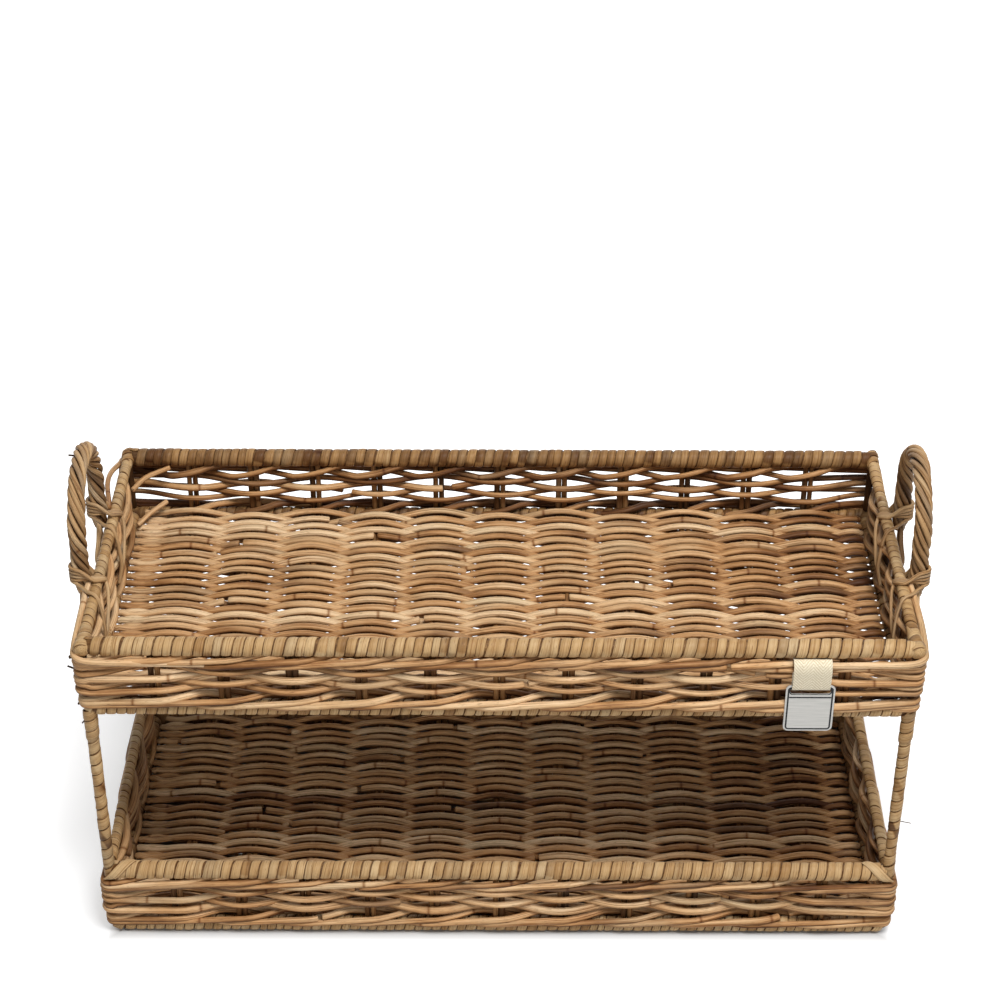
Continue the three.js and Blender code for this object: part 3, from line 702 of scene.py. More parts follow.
def woven(bundle, path, diameter, starts):
    """Adds a path round the tray, piece by piece from somewhere between two shares of the way round."""
    first = np.searchsorted(LOOP_AT, rng.uniform(*starts) * LOOP_LENGTH)
    for part in in_pieces(np.concatenate([path[first:], path[: first - 1]])):
        own = diameter * rng.uniform(*WALL_SCATTER)
        # the back wall's strands get painted shade
        add_strand(bundle, part, UP, own, under=WALL_UNDERSIDE_SHADE, shade_and_tone=back_shade(part))


def plain_row(bundle, row, level):
    sign = np.where((np.arange(len(PAIR_AT)) + row) % 2 == 0, 1, -1)
    corner = POST_RADIUS * POST_BED + STRAND / 2
    path = round_the_walls(sign * (STAKE + STRAND) / 2, corner, level + wander(LOOP_AT, "wall_row"))
    woven(bundle, path, STRAND, PLAIN_STARTS)


def waling(bundle, level, reach, corner):
    """Three strands, each outside two stake pairs and behind the third, climbing from left to right."""
    index = np.arange(len(PAIR_AT))
    bay = LONG_PITCH / WALE_STRANDS
    for strand in range(WALE_STRANDS):
        behind = index % WALE_STRANDS == strand
        low, high = PAIR_AT[behind] + bay, PAIR_AT[behind] - bay
        knots = np.concatenate([low, high, low - LOOP_LENGTH, high + LOOP_LENGTH])
        climbs = np.repeat([-WALE_CLIMB, WALE_CLIMB, -WALE_CLIMB, WALE_CLIMB], len(low))
        order = np.argsort(knots)
        levels = level + WALE_BAND * np.interp(LOOP_AT, knots[order], climbs[order])
        levels = levels + wander(LOOP_AT, "waling")
        path = round_the_walls(np.where(behind, -(STAKE + WALE_STRAND) / 2, reach), corner, levels)
        if level > RIM_LEVELS["upper"] - 2 * RIM_RADIUS:
            pressed = np.exp(-(((path[:, 0] - TAPE_PLACE) / TAPE_PRESS_REACH) ** 4))
            path += (pressed * (path[:, 1] < -HALF_DEPTH))[:, None] * TAPE_PRESS
        woven(bundle, path, WALE_STRAND, WALE_STARTS)


def walls(tier, material):
    bundle = Bundle()
    floor = FLOORS[tier]
    waling(bundle, floor + FOOT_WALE, FOOT_WALE_REACH, FOOT_WALE_CORNER)
    for row, level in enumerate(np.linspace(*PLAIN_LEVELS, PLAIN_ROWS)):
        plain_row(bundle, row, floor + level)
    waling(bundle, floor + RIM_WALE, (STAKE + WALE_STRAND) / 2, RIM_WALE_CORNER)
    if tier == "upper":
        runners(bundle)
        loose_ends(bundle)
    nodes = [f"{tier}_wall_{side}" for side in SIDES]
    bundle.piece(f"{tier}_wall_strands", material, "weaver", *nodes)


def runners(bundle):
    """Strands at three upper corners that leave the waling and run outside the end rim to a lashing."""
    out = END_RIM_RADIUS + WALE_STRAND / 2 - RUNNER_BED
    run = HALF_DEPTH - LEG_PLACE
    for x, y, bow, diameter, tint in RUNNERS:
        knots = [
            (-0.085, 0.004, -0.0125),
            (-0.035, 0.006, -0.0105),
            (-0.006, 0.0082, -0.0082),
            (0.0048, 0.0054, -0.0056),
            (out, -0.005, -0.003),
            (out + bow, -0.022, -0.0008),
            (out + bow, -0.5 * run, 0.0),
            (out, 0.016 - run, 0.0006),
            (out - 0.002, 0.004 - run, 0.003),
        ]
        path = curve_through(knots) * [x, y, 1] + at_rim(x * HALF_WIDTH, y * HALF_DEPTH)
        add_strand(bundle, path, UP, diameter, tint)


def loose_ends(bundle):
    """Ends of weavers that stand out inside the back left corner of the upper tray."""
    for knots in LOOSE_ENDS:
        path = curve_through(knots + at_rim(-HALF_WIDTH, HALF_DEPTH))
        add_strand(bundle, path, UP, STRAND * LOOSE_END_SIZE, LOOSE_END_TINT)


# Cane windings


def wind(bundle, spine, radius, turn, phase=0.0, hand=1, inner_shade=0.0):
    """A cane strip wound round a spine, turn beside turn, with no two turns quite alike.

    The radius is one number, or one for each end. The side that faces the tray's middle is darker by the
    last argument, as painted shade; turns at the back are darker too, as painted shade.
    """
    along = lengths_along(spine)
    turns = max(2, round(along[-1] / turn))
    widths = np.clip(rng.normal(1, TURN_SCATTER, turns), *TURN_LIMITS)
    widths *= along[-1] / widths.sum()
    marks = np.concatenate([[0.0], np.cumsum(widths)])
    at = np.linspace(0, turns, turns * WINDING_STEPS + 1)
    distance = np.interp(at, np.arange(turns + 1), marks)
    centre = at_distances(distance, along, spine)
    forward = unit(at_distances(distance, along, unit(np.gradient(spine, axis=0))))
    upright = abs(forward[0, 2]) > 0.9
    across = np.broadcast_to(OUT_X, forward.shape) if upright else unit(np.cross(UP, forward))
    across = unit(across - forward * (across * forward).sum(1, keepdims=True))
    above = np.cross(forward, across)
    outward = turned(hand * 2 * math.pi * (at + phase), across, above)
    radii = np.interp(distance, along[[0, -1]], np.broadcast_to(radius, 2))
    lift = radii - CANE_THICKNESS + wander(distance, "cane_lift")
    path = centre + outward * lift[:, None]
    slant = math.cos(math.atan(turn / (2 * math.pi * radii.mean())))
    wide = np.interp(at - 0.5, np.arange(turns), widths) / 2 * slant
    wide = wide * CANE_COVER - np.abs(wander(lengths_along(path), "cane_edge"))
    shades = rng.normal(*CANE_TINT, turns + 1)
    dark_share, darker = DARK_TURNS
    shades[rng.random(turns + 1) < dark_share] -= darker
    # painted shade on the turns at the back
    shade = shades[np.floor(at + TINT_LEAD).astype(int).clip(0, turns)] - back_shade(centre)
    # painted shade on the side that faces the tray's middle
    shade = shade - inner_shade * np.clip(-(outward * unit(centre))[:, :2].sum(1), 0, 1)
    bundle.add(path, outward, STRIP_SECTION, wide, CANE_THICKNESS, np.clip(shade, 0, 1))


def core(bundle, spine, radius, up=UP):
    """The rod under a winding."""
    bundle.add(spine, up, ROD_SECTION, radius, radius, CORE_TINT)


def tips(bundle, spine, radius):
    """The thicker, rounded ends of an end rim: a second winding, and a cap of cane over it."""
    for end, before, (length, wide) in zip(spine[[0, -1]], spine[[1, -2]], CUFFS):
        way = unit(end - before)
        share = np.linspace(0, TIP_CUT, TIP_RINGS)
        path = end + np.outer((share - 1) * RIM_TIP, way)
        size = (wide + CANE_THICKNESS / 8) * np.sqrt(1 - share**2)
        bundle.add(path, UP, STRAND_SECTION, size, size, TIP_TINT)
        cuff = straight(end - way * (RIM_TIP + length), end - way * RIM_TIP * 0.9, CUFF_STEP)
        core(bundle, cuff, np.linspace(radius, wide, len(cuff)) - CANE_THICKNESS)
        wind(bundle, cuff, (radius + CANE_THICKNESS / 3, wide), CUFF_TURN, phase=0.4)


def wall_stakes(bundle, tier, side):
    """The stake pairs of one wall, from the foot rod up into the rim."""
    number = SIDES.index(side)
    start, stop = CORNER_AT[number], CORNER_AT[number + 1]
    foot_level = FLOORS[tier] + FOOT_RADIUS
    for at in PAIR_AT[(PAIR_AT > start) & (PAIR_AT < stop)]:
        spot = np.searchsorted(LOOP_AT, at)
        out = LOOP_OUT[spot]
        along = np.array([-out[1], out[0]])
        place = LOOP_LINE[spot] + along * (at - LOOP_AT[spot])
        for half in (-1, 1):
            x, y = place + along * half * STAKE / 2
            path = straight((x, y, foot_level), (x, y, RIM_LEVELS[tier]))
            add_strand(bundle, path, OUT_X, STAKE, rng.uniform(*WALL_STAKE_TINTS), ROD_SECTION)


def rim(tier, side, material, stake_material):
    """A rim rod wound in cane, with the stakes of its wall."""
    low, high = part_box(f"{tier}_rim_{side}")
    level = RIM_LEVELS[tier]
    if side in ("front", "back"):
        radius = RIM_RADIUS
        y = (low.y + high.y) / 2
        spine = straight((low.x, y, level), (high.x, y, level))
    else:
        radius = END_RIM_RADIUS
        x = (low.x + high.x) / 2
        spine = straight((x, low.y, level), (x, high.y, level))
    bundle = Bundle()
    if (high.y - low.y) > 2 * HALF_DEPTH:
        tips(bundle, spine, radius)
        inset = np.sign(spine[:, 1]) * np.where(np.abs(spine[:, 1]) > HALF_DEPTH, RIM_TIP, 0)
        spine = spine - np.outer(inset, (0, 1, 0))
    core(bundle, spine, radius - CANE_THICKNESS)
    wind(bundle, spine, radius, RIM_TURN, phase=0.75, hand=-1)
    if (tier, side) == ("lower", "front"):
        straps(bundle)
    bundle.piece(f"{tier}_rim_{side}_cane", material, "cane", f"{tier}_rim_{side}")
    stakes = Bundle()
    wall_stakes(stakes, tier, side)
    stakes.piece(f"{tier}_stakes_{side}", stake_material, "stake")


def straps(bundle):
    """A strip across each lower front corner, from the rim's front up over its top."""
    run = np.linspace(*STRAP_RUN, STRAP_STEPS)
    outward = turned(np.linspace(*STRAP_TURN, STRAP_STEPS), -OUT_Y, UP)
    for way in (-1, 1):
        line = np.zeros((STRAP_STEPS, 3)) + [0, -HALF_DEPTH, RIM_LEVELS["lower"]]
        line[:, 0] = way * (HALF_WIDTH - run)
        path = line + (RIM_RADIUS - CANE_THICKNESS / 3) * outward
        bundle.add(path, outward, STRIP_SECTION, STRAP_WIDTH / 2, CANE_THICKNESS, STRAP_TINT)


def corner_stakes(material):
    """The short stakes that the weavers turn round under the upper rims."""
    for corner in CORNERS:
        low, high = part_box(f"upper_corner_stake_{corner}")
        place = (low + high) / 2
        bundle = Bundle()
        path = straight((place.x, place.y, low.z), (place.x, place.y, high.z))
        add_strand(bundle, path, OUT_X, high.x - low.x, CORNER_STAKE_TINT)
        bundle.piece(f"upper_corner_rod_{corner}", material, "stake", f"upper_corner_stake_{corner}")


def foot_spine(level):
    """The foot rod's centre line, round the tray from the middle of the back, where its ends lap."""
    x, y = HALF_WIDTH - FOOT_BEND, HALF_DEPTH - FOOT_BEND
    arcs = []
    for cx, cy, turn in ((-x, y, 0.5), (-x, -y, 1.0), (x, -y, 1.5), (x, y, 0.0)):
        angle = np.linspace(0, math.pi / 2, FOOT_BEND_RINGS) + turn * math.pi
        arcs.append((cx, cy, level) + FOOT_BEND * turned(angle, OUT_X, OUT_Y))
    points = [straight((FOOT_LAP / 2, HALF_DEPTH, level), (-x, HALF_DEPTH, level)), arcs[0]]
    for before, arc in zip(arcs, arcs[1:]):
        points += [straight(before[-1], arc[0])[1:-1], arc]
    points.append(straight(arcs[-1][-1], (-FOOT_LAP / 2, HALF_DEPTH, level))[1:])
    return np.concatenate(points)


def foot(tier, material, stake_material):
    spine = foot_spine(FLOORS[tier] + FOOT_RADIUS)
    bundle = Bundle()
    core(bundle, spine, FOOT_RADIUS - CANE_THICKNESS)
    wind(bundle, spine, FOOT_RADIUS, FOOT_TURN, hand=-1, inner_shade=FOOT_INSIDE_SHADE)
    bundle.piece(f"{tier}_foot_cane", material, "cane", f"{tier}_foot_frame")
    stakes = Bundle()
    base_stakes(stakes, tier)
    stakes.piece(f"{tier}_base_stakes", stake_material, "stake")


def posts(material):
    for corner, (x, y) in CORNERS.items():
        place = (x * HALF_WIDTH, y * HALF_DEPTH)
        low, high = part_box(f"post_{corner}")
        wound = straight((*place, RIM_LEVELS["lower"] - RIM_RADIUS), (*place, high.z))
        bundle = Bundle()
        core(bundle, straight((*place, low.z), (*place, high.z)), POST_RADIUS - CANE_THICKNESS, OUT_X)
        wind(bundle, wound, POST_RADIUS, POST_TURN)
        collar = straight((*place, high.z - COLLAR_HEIGHT), (*place, high.z + FOOT_RADIUS))
        wind(bundle, collar, COLLAR_RADIUS, POST_TURN, phase=0.3)
        bundle.piece(f"post_{corner}_cane", material, "cane", f"post_{corner}", f"post_winding_{corner}")


def stray_twigs(material):
    """Small dark ends that stand out of the weave on the left, and a hair on the right post."""
    bundle = Bundle()
    for place, way, length, diameter in TWIGS:
        path = straight(np.array(place), np.array(place) + length * unit(np.array(way)), length / 4)
        bundle.add(path, TWIG_UP, ROD_SECTION, diameter / 2, diameter / 2, TWIG_TINT)
    bundle.piece("stray_twigs", material, "weaver")


# Handles


def handle_arch():
    """The centre line of a handle in its own plane, from the front foot over the top to the back foot."""
    spring = RIM_LEVELS["upper"] + HANDLE_SPRING
    angle = np.linspace(math.pi, 0, ARCH_STEPS)
    arch = np.column_stack([LEG_PLACE * np.cos(angle), spring + (HANDLE_TOP - spring) * np.sin(angle)])
    front = straight((-LEG_PLACE, handle_low.z), (-LEG_PLACE, spring), HANDLE_STEP)[:-1]
    back = straight((LEG_PLACE, spring), (LEG_PLACE, handle_low.z), HANDLE_STEP)[1:]
    return np.concatenate([front, arch, back])


def handle(name, x, material):
    """Rods laid up into a rope round the arch."""
    arch = handle_arch()
    along = lengths_along(arch)
    centre = np.column_stack([np.full(len(arch), x), arch])
    across = np.cross(OUT_X, unit(np.gradient(centre, axis=0)))
    foot_share = np.clip(np.minimum(along, along[-1] - along) / ROPE_TAPER, 0, 1)
    taper = ROPE_CLOSED + (1 - ROPE_CLOSED) * np.sin(foot_share * math.pi / 2)
    inside = (ROPE_RADIUS - ROPE_ROD) * taper
    # painted shade, growing towards the back leg
    shade_and_tone = BACK_LEG_SHADE * np.clip(centre[:, 1] / LEG_PLACE, 0, 1)
    bundle = Bundle()
    bundle.add(centre, OUT_X, ROD_SECTION, inside, inside, ROPE_CORE_TINT)
    for rod in range(ROPE_RODS):
        angle = -2 * math.pi * (along / ROPE_LAY + rod / ROPE_RODS) + wander(along, "rope_angle")
        offset = (ROPE_RADIUS - ROPE_ROD / 2 + wander(along, "rope_rod")) * taper
        swing = turned(angle, across, OUT_X)
        path = centre + swing * offset[:, None]
        add_strand(bundle, path, swing, ROPE_ROD, under=ROPE_GAP_SHADE, shade_and_tone=shade_and_tone)
    tails(bundle, x)
    nodes = [f"handle_{name}_strand_{i}" for i in HANDLE_STRANDS]
    bundle.piece(f"handle_{name}_rope", material, "handle", *nodes)


def tails(bundle, x):
    """Rods that leave the foot of each leg and run down and to the front on the outside of the wall."""
    level = RIM_LEVELS["upper"]
    way = math.copysign(1, x)
    wall = way * (HALF_WIDTH + STAKE / 2 + STRAND + ROPE_ROD / 2)
    for leg in (-LEG_PLACE, LEG_PLACE):
        for run, fall in TAILS:
            knots = [
                (x, leg, level + 0.006),
                (x, leg - 0.1 * run, level - 0.003),
                (wall + way * 0.001, leg - 0.4 * run, level - 0.5 * fall),
                (wall, leg - 0.8 * run, level - 0.85 * fall),
                (wall - way * 0.008, leg - run, level - fall),
            ]
            add_strand(bundle, curve_through(knots), OUT_X + [0, 0.2, 0], ROPE_ROD * TAIL_SIZE)


def lashing_path():
    """Turns round the outside of a leg and the inside of the rim, which runs along Y at the origin.

    The strand comes up inside the wall and crosses the rim in front of the leg; its other end goes down
    inside the wall again.
    """
    out = HANDLE_OUT - HALF_WIDTH
    pitch = LASHING + LASHING_GAP
    leg = ROPE_RADIUS + LASHING / 2
    ring = END_RIM_RADIUS + LASHING / 2
    wall = -(STAKE / 2 + STRAND + LASHING / 2)
    points = [[
        (wall + 0.003, -0.041, -0.036),
        (wall, -0.037, -0.022),
        (-ring - 0.001, -0.031, -0.006),
        (-0.65 * ring, -0.028, 0.8 * ring),
        (0, -0.0255, 1.08 * ring),
        (0.7 * ring, -0.0225, 0.8 * ring),
        (out - 0.003, -0.0155, 0.0032),
    ]]
    share = np.linspace(0, 1, 13)
    for turn in range(LASHING_TURNS + 1):
        level = LASHING_ENTRY + (turn - 1) * pitch + LASHING_FALL * (0.5 - share)
        angle = math.pi * (share - 0.5) if turn else math.pi * (share * 5 / 6 - 1 / 3)
        points.append(np.column_stack([out + leg * np.cos(angle), leg * np.sin(angle), level]))
        angle = -math.pi / 2 - math.pi * share
        start, stop = 0.7 * leg + turn * pitch / 4, -0.6 * leg - turn * 0.7 * pitch
        y = start + (stop - start) * share
        points.append(np.column_stack([ring * np.cos(angle), y, ring * np.sin(angle)]))
    points[-1] = points[-1][:7]
    y = points[-1][-1, 1]
    points.append([
        (-ring - 0.0025, y - 0.006, -0.003),
        (wall, y - 0.015, -0.011),
        (wall, y - 0.026, -0.022),
        (wall + 0.003, y - 0.036, -0.034),
    ])
    return np.concatenate(points)


def lashings(name, way, material):
    for number, leg in ((1, way), (2, -way)):
        path = smoothed(lashing_path() * [way, 1, 1] + at_rim(way * HALF_WIDTH, leg * LEG_PLACE))
        centre = at_rim(way * (HALF_WIDTH + HANDLE_OUT) / 2, 0)
        bundle = Bundle()
        tint = rng.uniform(*LASHING_TINTS)
        add_strand(bundle, path, (path - centre) * [1, 0, 1], LASHING, tint, ROD_SECTION)
        node = f"handle_{name}_lashing_{number}"
        bundle.piece(f"handle_{name}_binding_{number}", material, "weaver", node)


# Tape and plate


def tape_line(low, high):
    """The tape seen from its edge, as Y and Z: out under the rim, down through the slot and back up."""
    bar = middle("tag_plate").y
    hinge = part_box("tag_plate")[1].z - PLATE_HINGE
    front = low.y + TAPE_THICKNESS / 2
    rear = 2 * bar - front
    under_rim = RIM_LEVELS["upper"] - RIM_RADIUS
    line = curve_through([
        (0.004 - HALF_DEPTH, under_rim - 0.0016),
        (-HALF_DEPTH - 0.002, under_rim - 0.0006),
        (front + 0.0045, under_rim + 0.0016),
        (front + 0.0012, under_rim - 0.0004),
        (front, under_rim - 0.005),
        (front + 0.0003, hinge + 0.009),
        (bar - 0.0018, hinge + 0.0028),
        (bar - 0.0014, hinge),
        (bar - 0.0004, hinge - 0.0018),
        (bar + 0.0016, hinge - 0.002),
        (bar + 0.0026, hinge - 0.0004),
        (bar + 0.0025, hinge + 0.003),
        (rear, hinge + 0.008),
        (rear, high.z - 0.006),
    ], TAPE_STEP)
    along = lengths_along(line)
    even = np.arange(0, along[-1], TAPE_STEP)
    return even, at_distances(even, along, line)


def tape(material):
    """A strip of cotton tape with herringbone ribs on both faces."""
    low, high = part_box("tag_tape")
    even, line = tape_line(low, high)
    width = high.x - low.x
    x = np.linspace(low.x, high.x, TAPE_COLUMNS)
    heading = unit(np.gradient(line, axis=0))
    normal = np.column_stack([heading[:, 1], -heading[:, 0]])
    stripe = np.abs((x - low.x) / width * TAPE_STRIPES % 2 - 1)
    rib = np.sin(2 * math.pi * (even[:, None] / TAPE_RIB + TAPE_SLANT * stripe[None]))
    places = []
    for face in (1, -1):
        lift = face * (TAPE_THICKNESS / 2 + TAPE_RELIEF * rib)
        y, z = (line[:, i : i + 1] + normal[:, i : i + 1] * lift for i in range(2))
        places.append(np.stack([np.broadcast_to(x, y.shape), y, z], -1).reshape(-1, 3))
    count = rib.size
    grid = np.arange(count).reshape(rib.shape)
    quad = np.stack([grid[:-1, :-1], grid[1:, :-1], grid[1:, 1:], grid[:-1, 1:]], -1).reshape(-1, 4)
    edge = np.concatenate([grid[:, 0], grid[-1, 1:], grid[-2::-1, -1], grid[0, -2:0:-1]])
    following = np.roll(edge, -1)
    border = np.stack([edge, following, following + count, edge + count], -1)
    faces = np.concatenate([quad, quad[:, ::-1] + count, border[:, ::-1]])
    mesh = bpy.data.meshes.new("tag_tape_cloth")
    mesh.from_pydata(np.concatenate(places).tolist(), [], faces.tolist())
    mesh.shade_smooth()
    layer = mesh.attributes.new("rib", "FLOAT", "POINT")
    layer.data.foreach_set("value", np.tile(rib.ravel(), 2).astype(np.float32) / 2 + 0.5)
    cloth = placed("tag_tape_cloth", mesh, material, ["tag_tape"])


def rounded_outline(width, top, bottom, corner):
    steps = np.linspace(0, math.pi / 2, CORNER_STEPS)
    x = width / 2 - corner
    centres = [(x, top - corner), (-x, top - corner), (-x, bottom + corner), (x, bottom + corner)]
    arcs = [turned(steps + number * math.pi / 2, OUT_X, OUT_Y)[:, :2] for number in range(4)]
    return np.concatenate([centre + corner * arc for centre, arc in zip(centres, arcs)])


def curve_mesh(name, outlines, depth, bevel):
    """A flat filled outline with holes, given depth and a small bevel."""
    curve = bpy.data.curves.new(name, "CURVE")
    curve.dimensions = "2D"
    curve.fill_mode = "BOTH"
    curve.extrude = depth / 2 - bevel
    curve.bevel_depth = bevel
    curve.bevel_resolution = 2
    curve.offset = -bevel
    for outline in outlines:
        spline = curve.splines.new("POLY")
        spline.points.add(len(outline) - 1)
        spline.points.foreach_set("co", np.column_stack([outline, np.zeros((len(outline), 2))]).ravel())
        spline.use_cyclic_u = True
    source = bpy.data.objects.new(name, curve)
    mesh = bpy.data.meshes.new_from_object(source)
    bpy.data.objects.remove(source)
    bpy.data.curves.remove(curve)
    mesh.name = name
    return mesh


def plate(material, line_material):
    """The metal plate with its slot, the lines printed on its front, and a black ring round the slot that
    is a printed line and also painted shade that darkens the slot.
    """
    low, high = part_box("tag_plate")
    place = middle("tag_plate")
    width, thickness = high.x - low.x, high.y - low.y
    tape_low, tape_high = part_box("tag_tape")
    slot_width = tape_high.x - tape_low.x + 2 * SLOT_PLAY
    slot_top = high.z - PLATE_BAR
    slot_low = slot_top - SLOT_HEIGHT
    outline = rounded_outline(width, high.z, low.z, PLATE_CORNER)
    slot = rounded_outline(slot_width, slot_top, slot_low, SLOT_HEIGHT / 2 - ROUND_END)
    stand = Matrix.Translation((place.x, place.y, 0)) @ Matrix.Rotation(math.pi / 2, 4, "X")
    mesh = curve_mesh("tag_plate_metal", [outline, slot], thickness, PLATE_BEVEL)
    mesh.transform(stand)
    placed("tag_plate_metal", mesh, material, ["tag_plate"], "tag")
    insets = (LINE_INSET, LINE_INSET + LINE_WIDTH)
    border = [rounded_outline(width - 2 * i, high.z - i, low.z + i, PLATE_CORNER - i) for i in insets]
    level = slot_low - 2 * LINE_WIDTH
    line = [rounded_outline(width - 2 * insets[1], level, level - LINE_WIDTH, LINE_WIDTH / 2 - ROUND_END)]
    half = LINE_WIDTH / 2
    # a black ring round the slot: a printed line, and painted shade that darkens the slot
    brim = rounded_outline(slot_width + LINE_WIDTH, slot_top + half, slot_low - half, SLOT_HEIGHT / 2)
    lift = Matrix.Translation((0, -thickness / 2 - LINE_BEVEL, 0))
    prints = {"tag_plate_border": border, "tag_plate_line": line, "tag_slot_print_and_shade": [brim, slot]}
    for name, outlines in prints.items():
        mesh = curve_mesh(name, outlines, LINE_DEPTH, LINE_BEVEL)
        mesh.transform(lift @ stand)
        placed(name, mesh, line_material, [], "tag")


# Materials


def colour(code):
    """A linear colour from its written form."""
    parts = [int(code[i : i + 2], 16) / 255 for i in (1, 3, 5)]
    return (*[p / 12.92 if p <= 0.04045 else ((p + 0.055) / 1.055) ** 2.4 for p in parts], 1.0)


class Nodes:
    """The node tree of a material or a world, built link by link."""

    def __init__(self, owner):
        owner.use_nodes = True
        self.owner = owner
        self.tree = owner.node_tree

    def add(self, kind, links=None, **settings):
        made = self.tree.nodes.new(kind)
        for key, value in settings.items():
            setattr(made, key, value)
        self.feed(made, links or {})
        return made

    def feed(self, node, links):
        for key, value in links.items():
            if isinstance(value, bpy.types.NodeSocket):
                self.tree.links.new(value, node.inputs[key])
            else:
                node.inputs[key].default_value = value

    def finish(self, links):
        """Feeds the shader, and gives the material."""
        self.feed(self.tree.nodes["Principled BSDF"], links)
        return self.owner

    def attribute(self, name, output="Fac"):
        return self.add("ShaderNodeAttribute", attribute_name=name).outputs[output]

    def place(self):
        return self.add("ShaderNodeTexCoord").outputs["Object"]

    def noise(self, vector, scale, detail):
        stretched = self.add("ShaderNodeMapping", {"Vector": vector, "Scale": scale}).outputs["Vector"]
        made = self.add("ShaderNodeTexNoise", {"Vector": stretched, "Scale": 1.0, "Detail": detail})
        return made.outputs["Fac"]

    def spread(self, value, low, high, to_low, to_high):
        links = {"Value": value, "From Min": low, "From Max": high, "To Min": to_low, "To Max": to_high}
        return self.add("ShaderNodeMapRange", links).outputs["Result"]

    def ramp(self, value, *stops):
        made = self.add("ShaderNodeValToRGB", {"Fac": value})
        elements = made.color_ramp.elements
        while len(elements) < len(stops):
            elements.new(0.5)
        for element, (place, code) in zip(elements, stops):
            element.position = place
            element.color = colour(code)
        return made.outputs["Color"]

    def math(self, operation, first, second):
        return self.add("ShaderNodeMath", {0: first, 1: second}, operation=operation).outputs["Value"]

    def mixed(self, share, first, second, blend="MIX"):
        made = self.add("ShaderNodeMix", data_type="RGBA", blend_type=blend)
        self.feed(made, {0: share, 6: first, 7: second})
        return made.outputs[2]

    def shaded(self, tone, share):
        return self.mixed(1.0, tone, share, "MULTIPLY")

    def bump(self, height, distance, strength):
        links = {"Height": height, "Distance": distance, "Strength": strength}
        return self.add("ShaderNodeBump", links).outputs["Normal"]

    def seen(self):
        """1 where the camera, a reflection or a view through glass looks, 0 for the light itself."""
        paths = self.add("ShaderNodeLightPath").outputs
        straight_on = self.math("MAXIMUM", paths["Is Camera Ray"], paths["Is Glossy Ray"])
        return self.math("MAXIMUM", straight_on, paths["Is Transmission Ray"])


def rattan(name, tints, warm, grey, gloss, streak_dark, joint=JOINT_SPACING):
    """Rattan or cane: warm tones, grey ones in places, with streaks, blotches and growth rings."""
    nodes = Nodes(bpy.data.materials.new(name))
    grain = nodes.attribute("grain", "Vector")
    streak = nodes.noise(grain, *STREAKS)
    weathered = nodes.spread(nodes.noise(grain, *WEATHER), 0.5, 0.7, 0, 1)
    blotch = nodes.spread(nodes.noise(grain, *BLOTCHES), 0.3, 0.7, -0.14, 0.14)
    tint = nodes.math("ADD", nodes.attribute("tint"), blotch)
    length = nodes.add("ShaderNodeSeparateXYZ", {"Vector": grain}).outputs["X"]
    cells = nodes.add(
        "ShaderNodeTexVoronoi",
        {"W": nodes.math("MULTIPLY", length, 1 / joint), "Scale": 1.0},
        voronoi_dimensions="1D",
        feature="DISTANCE_TO_EDGE",
    )
    shades = (
        nodes.ramp(streak, (0.3, streak_dark), (0.52, WHITE), (0.72, WHITE)),
        nodes.ramp(nodes.noise(grain, *PORES), (0.26, "#7f664f"), (0.38, WHITE)),
        nodes.ramp(cells.outputs["Distance"], (0.0, "#a98a6c"), (JOINT_LINE / joint, WHITE)),
        nodes.ramp(nodes.attribute("edge"), (0.9, WHITE), (1.0, "#8a6a48")),
    )
    tone = nodes.mixed(weathered, *(nodes.ramp(tint, *zip(tints, codes)) for codes in (warm, grey)))
    for shade in shades:
        tone = nodes.shaded(tone, shade)
    return nodes.finish({
        "Base Color": tone,
        "Roughness": nodes.spread(streak, 0.3, 0.7, gloss + 0.1, gloss - 0.06),
        "Specular IOR Level": 0.15,
        "Normal": nodes.bump(streak, 0.00022, 0.7),
    })


def cotton():
    nodes = Nodes(bpy.data.materials.new("cotton_tape"))
    fibre = nodes.noise(nodes.place(), *FIBRES)
    tone = nodes.ramp(fibre, (0.25, "#cdc0a4"), (0.55, "#e4dac2"), (0.8, "#eee6d4"))
    rib = nodes.ramp(nodes.attribute("rib"), (0.0, "#dcd2bf"), (0.6, WHITE))
    return nodes.finish({
        "Base Color": nodes.shaded(tone, rib),
        "Roughness": 0.92,
        "Sheen Weight": 0.25,
        "Normal": nodes.bump(fibre, 0.0002, 0.8),
    })


def metal():
    nodes = Nodes(bpy.data.materials.new("brushed_plate"))
    brush = nodes.noise(nodes.place(), *BRUSHING)
    return nodes.finish({
        "Base Color": nodes.ramp(brush, (0.3, "#a9a8a4"), (0.7, "#c0beb9")),
        "Metallic": 0.35,
        "Roughness": nodes.spread(brush, 0.3, 0.7, 0.38, 0.55),
        "Normal": nodes.bump(brush, 0.00004, 0.5),
    })


def print_black():
    nodes = Nodes(bpy.data.materials.new("printed_line"))
    worn = nodes.noise(nodes.place(), *PRINT_WEAR)
    tone = nodes.ramp(worn, (0.3, "#18191b"), (0.7, "#2c2d2f"))
    return nodes.finish({"Base Color": tone, "Roughness": 0.6, "Specular IOR Level": 0.2})


